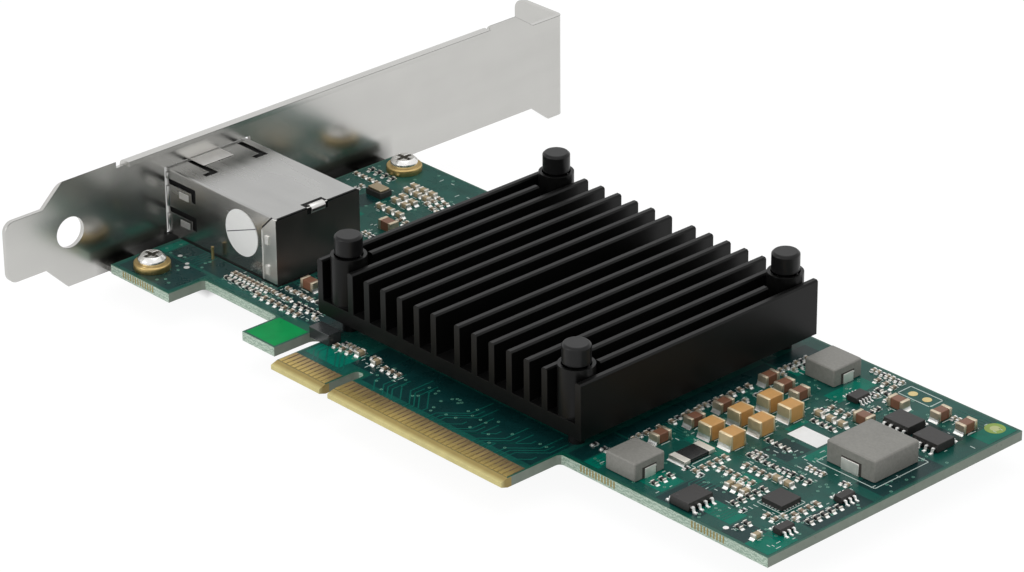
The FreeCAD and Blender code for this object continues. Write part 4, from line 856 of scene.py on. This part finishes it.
# One more brown capacitor of the same size stands between the jack and the heat sink.
ends, bodies = chip_ends("input_capacitor")
ends = ends[(bodies == bodies[0]).all(axis=(1, 2))]
shift = np.array([-34.9 * MM, 43.9 * MM, 0]) - bodies[0].mean(axis=0) * np.array([1, 1, 0])
ends, body = ends + shift, bodies[:1] + shift
lone_brown = grained("lone_capacitor_ceramic", (0.20, 0.085, 0.045), 0.45, tint=0.3, spread=0.1, scale=1100,
                     relief=0.25)
plates("lone_capacitor_body", body.reshape(-1, 6), lone_brown)
plates("lone_capacitor_ends", ends.reshape(-1, 6), dull_tin)
fillets("lone_capacitor_solder", ends, body[[0, 0]])


# ---- moulded chips
# Black epoxy packages with matt tin leads. A shallow dimple marks the first
# pin, and a printed line on the board outlines the last of them, the regulator.
epoxy = grained("chip_black", (0.017, 0.015, 0.014), 0.5, tint=0.35, scale=1600, relief=0.35)
moulded = {"power_transistor_bodies": 0.08, "logic_chip_bodies": 0.06, "regulator_body": 0.06}
for name, rounding in moulded.items():
    softened(name, epoxy, rounding)
lead_tin = metal("lead_tin", (0.96, 0.95, 0.93), 0.6, spread=0.2)
for name in ("power_transistor_leads", "logic_chip_leads", "regulator_pads"):
    finish_node(name, lead_tin)
dimple = grained("dimple_black", (0.008, 0.008, 0.008), 0.3, tint=0.2)
packages = np.concatenate([island_boxes(name) for name in moulded])
inset = 0.2 * (packages[:, 1, :2] - packages[:, 0, :2]).min(axis=1, keepdims=True)
marks = packages[:, 0, :2] + inset
for k, top in enumerate(packages[:, 1, 2]):
    posts("pin_one_dimple_%d" % (k + 1), marks[k:k + 1], 0.28 * MM, top - 0.02 * MM, top + 0.008 * MM, 12,
          dimple)


# ---- crystal and oscillator
# A ceramic box with a welded plated lid near the jack, and a larger dark
# moulded clock near the connector.
softened("crystal_base", grained("crystal_ceramic", (0.03, 0.028, 0.026), 0.45), 0.06)
softened("crystal_lid", metal("crystal_metal", (0.52, 0.42, 0.28), 0.3), 0.06)
softened("clock_oscillator", grained("oscillator_black", (0.030, 0.034, 0.035), 0.25, tint=0.3),
         0.1)


# ---- tiniest chips
# Rows of chips half a millimetre wide fill the board between the larger parts.
# They are ceramic or film blocks with bright ends, too small to be modelled one by one.
crowded = np.concatenate([island_boxes(name) for name in (
    *moulded, *(kind + "_ends" for kind in chip_kinds), "power_transistor_leads", "logic_chip_leads",
    "small_inductor_cores", "large_inductor_core", "crystal_base", "clock_oscillator", "bracket_screws",
    "screw_washers", "jack_shield", "ground_pin")])
crowded = crowded[:, :, :2]


def is_clear(x, y, half_x, half_y, gap):
    """Which boxes about the given middles stay a gap clear of every modelled part."""
    low, high = crowded[:, 0], crowded[:, 1]
    middle, half = np.stack([x, y], axis=1)[:, None], np.stack([half_x, half_y], axis=1)[:, None] + gap
    touching = ((middle - half < high) & (middle + half > low)).all(axis=2)
    return ~touching.any(axis=1)


rows = np.array([
    # x, y, step along x, step along y, chips. Each chip lies across its row.
    (43.3, 21.4, 0, 1.15, 34), (44.9, 22.0, 0, 1.3, 10), (44.6, 45.6, 0, 1.2, 12), (46.4, 39.0, 0, 1.25, 8),
    (52.8, 32.2, 0.95, 0, 9), (53.2, 30.6, 0.95, 0, 8), (60.6, 28.6, 0.95, 0, 7), (55.0, 21.6, 0.95, 0, 4),
    (63.6, 21.8, 0, 1.1, 5), (64.8, 31.2, 0.9, 0, 5), (74.4, 21.6, 0, 1.1, 7), (76.2, 22.0, 0, 1.1, 6),
    (66.4, 18.6, 0.95, 0, 5), (60.2, 46.2, 0, 1.1, 6), (61.8, 45.8, 0, 1.1, 7), (56.4, 47.8, 0, 1.1, 4),
    (64.4, 50.4, 0.95, 0, 3), (58.0, 57.8, 0.95, 0, 4), (53.0, 63.6, 0.95, 0, 7), (70.6, 60.8, 0.95, 0, 4),
    (73.6, 34.6, 0.9, 0, 3), (67.2, 34.4, 0.9, 0, 4), (-29.8, 15.2, 0, 1.0, 4), (-27.0, 20.2, 0, 1.1, 12),
    (-25.2, 20.8, 0, 1.15, 12), (-22.6, 20.4, 0, 1.2, 11), (-20.2, 21.0, 0, 1.2, 11),
    (-30.0, 38.6, 0.95, 0, 12), (-30.0, 41.2, 0.95, 0, 12), (-36.4, 40.0, 0.95, 0, 6),
    (-38.8, 53.6, 0.95, 0, 8), (-50.2, 47.2, 0, 1.1, 5), (-42.6, 40.2, 0, 1.1, 4), (-18.4, 14.2, 0, 0.9, 4),
    (-8.8, 12.0, 0.95, 0, 9), (40.6, 17.2, 0.95, 0, 5),
])
step = np.arange(40)
tiny_x = (rows[:, 0, None] + rows[:, 2, None] * step).ravel() * MM
tiny_y = (rows[:, 1, None] + rows[:, 3, None] * step).ravel() * MM
lying = np.repeat(rows[:, 2] == 0, len(step))
real = (step[None] < rows[:, 4, None]).ravel()
half_long, half_short, cap_length = 0.5 * MM, 0.26 * MM, 0.24 * MM
half_x, half_y = np.where(lying, half_long, half_short), np.where(lying, half_short, half_long)
real &= is_clear(tiny_x, tiny_y, half_x, half_y, 0.3 * MM) & (chance.random(len(real)) < 0.86)
# Of two chips closer than 0.2 mm, only the earlier stays.
near_x = np.abs(tiny_x[:, None] - tiny_x) < half_x[:, None] + half_x + 0.2 * MM
near_y = np.abs(tiny_y[:, None] - tiny_y) < half_y[:, None] + half_y + 0.2 * MM
earlier = np.arange(len(tiny_x)) < np.arange(len(tiny_x))[:, None]
real &= ~(near_x & near_y & earlier & real).any(axis=1)
tiny_x, tiny_y, lying = tiny_x[real], tiny_y[real], lying[real]
dark_one = chance.random(len(tiny_x)) < 0.45


def chip_boxes(x, y, lying, low, high, half_width, height):
    """Boxes that span low to high along each chip's own length."""
    x0 = np.where(lying, x + low, x - half_width)
    x1 = np.where(lying, x + high, x + half_width)
    y0 = np.where(lying, y - half_width, y + low)
    y1 = np.where(lying, y + half_width, y + high)
    return slabs(x0, y0, x1, y1, height)


cream = grained("tiny_ceramic", (0.36, 0.30, 0.21), 0.5, tint=0.3)
film = grained("tiny_film", (0.02, 0.02, 0.022), 0.4, tint=0.3)
inner = half_long - cap_length
for name, chosen, height, material, slot in (
        ("tiny_ceramic_chips", ~dark_one, 0.42 * MM, cream, "capacitor_pale"),
        ("tiny_film_chips", dark_one, 0.3 * MM, film, "resistor_black")):
    plates(name, chip_boxes(tiny_x[chosen], tiny_y[chosen], lying[chosen], -inner, inner,
                            half_short - 0.02 * MM, height), material)
tiny_height = np.where(dark_one, 0.32, 0.44) * MM
toe, toe_height = half_long + 0.22 * MM, 0.1 * MM
plates("tiny_chip_ends", np.concatenate([
    chip_boxes(tiny_x, tiny_y, lying, low, high, half_short, height) for low, high, height in (
        (-half_long, -inner, tiny_height), (-toe, -half_long, toe_height),
        (inner, half_long, tiny_height), (half_long, toe, toe_height))]), pad_tin)


# ---- printed legend
# White ink on the mask: outlines round the larger parts, short bars beside
# the small ones, and one blank label field.
white_ink = grained("legend_ink", (0.56, 0.66, 0.62), 0.55, scale=1500, relief=0.2)
ink_lift = 0.045 * MM


def outlines(boxes, gap, line):
    """Four thin bars round each box: rows of x0, y0, x1, y1 grown by the gap."""
    x0, y0, x1, y1 = (np.asarray(boxes, float) + np.array([-gap, -gap, gap, gap])).T
    return np.concatenate([slabs(*bar, ink_lift) for bar in (
        (x0, y0, x1, y0 + line), (x0, y1 - line, x1, y1), (x0, y0, x0 + line, y1), (x1 - line, y0, x1, y1))])


def side_bars(kind, gap, line):
    """Two thin bars along the long sides of every chip of a kind."""
    ends, bodies = chip_ends(kind)
    along = facing_out(ends, bodies)[0]
    grow = np.where(along[:, None], (0, gap), (gap, 0))
    (x0, y0), (x1, y1) = (bodies[:, 0, :2] - grow).T, (bodies[:, 1, :2] + grow).T
    first = slabs(x0, y0, np.where(along, x1, x0 + line), np.where(along, y0 + line, y1), ink_lift)
    second = slabs(np.where(along, x0, x1 - line), np.where(along, y1 - line, y0), x1, y1, ink_lift)
    return np.unique(np.round(np.concatenate([first, second]), 7), axis=0)


large_core = island_boxes("large_inductor_core")[-1:, :, :2].reshape(1, 4)
legend = [
    outlines(large_core, 1.05 * MM, 0.15 * MM),
    outlines(packages[-1:, :, :2].reshape(1, 4), 0.5 * MM, 0.14 * MM),
    outlines(np.array([(60.1, 61.0, 66.6, 64.1)]) * MM, 0, 0.16 * MM),
    *(side_bars(kind, gap * MM, line * MM) for kind, (*_, gap, line) in chip_kinds.items()),
]
label_white = grained("label_white", (0.93, 0.93, 0.92), 0.55, tint=0.08, scale=1500, relief=0.2)
label_field = np.array([(57.7, 39.8, 63.7, 43.3)]) * MM
films("board_label_field", label_field, ink_lift, label_white)
bar_fields = ((43.4, 13.0, 80.0, 64.0, 230), (-54.0, 37.0, -18.0, 64.0, 80), (-39.0, 12.4, -18.0, 19.6, 60),
              (-8.0, 8.6, 6.0, 12.6, 12), (-30.0, 20.2, -18.0, 36.0, 40))
bar_x = np.concatenate([chance.uniform(x0, x1, n) for x0, y0, x1, y1, n in bar_fields]) * MM
bar_y = np.concatenate([chance.uniform(y0, y1, n) for x0, y0, x1, y1, n in bar_fields]) * MM
sideways = chance.random(len(bar_x)) < 0.5
half_bar = chance.uniform(0.2, 0.5, len(bar_x)) * MM
half_x = np.where(sideways, half_bar, 0.07 * MM)
half_y = np.where(sideways, 0.07 * MM, half_bar)
free = is_clear(bar_x, bar_y, half_x, half_y, 0.12 * MM)
label_x, label_y = label_field.reshape(2, 2).mean(axis=0)
free &= (np.abs(bar_x - label_x) > 3.5 * MM) | (np.abs(bar_y - label_y) > 2.2 * MM)
short_bars = slabs(bar_x - half_x, bar_y - half_y, bar_x + half_x, bar_y + half_y, ink_lift)
legend.append(short_bars[free])
for offset in (-0.42 * MM, 0.42 * MM):
    beside = chip_boxes(tiny_x + np.where(lying, 0, offset), tiny_y + np.where(lying, offset, 0), lying,
                        -half_long, half_long, 0.06 * MM, ink_lift)
    legend.append(beside[::2])
plates("board_legend", np.concatenate(legend), white_ink)
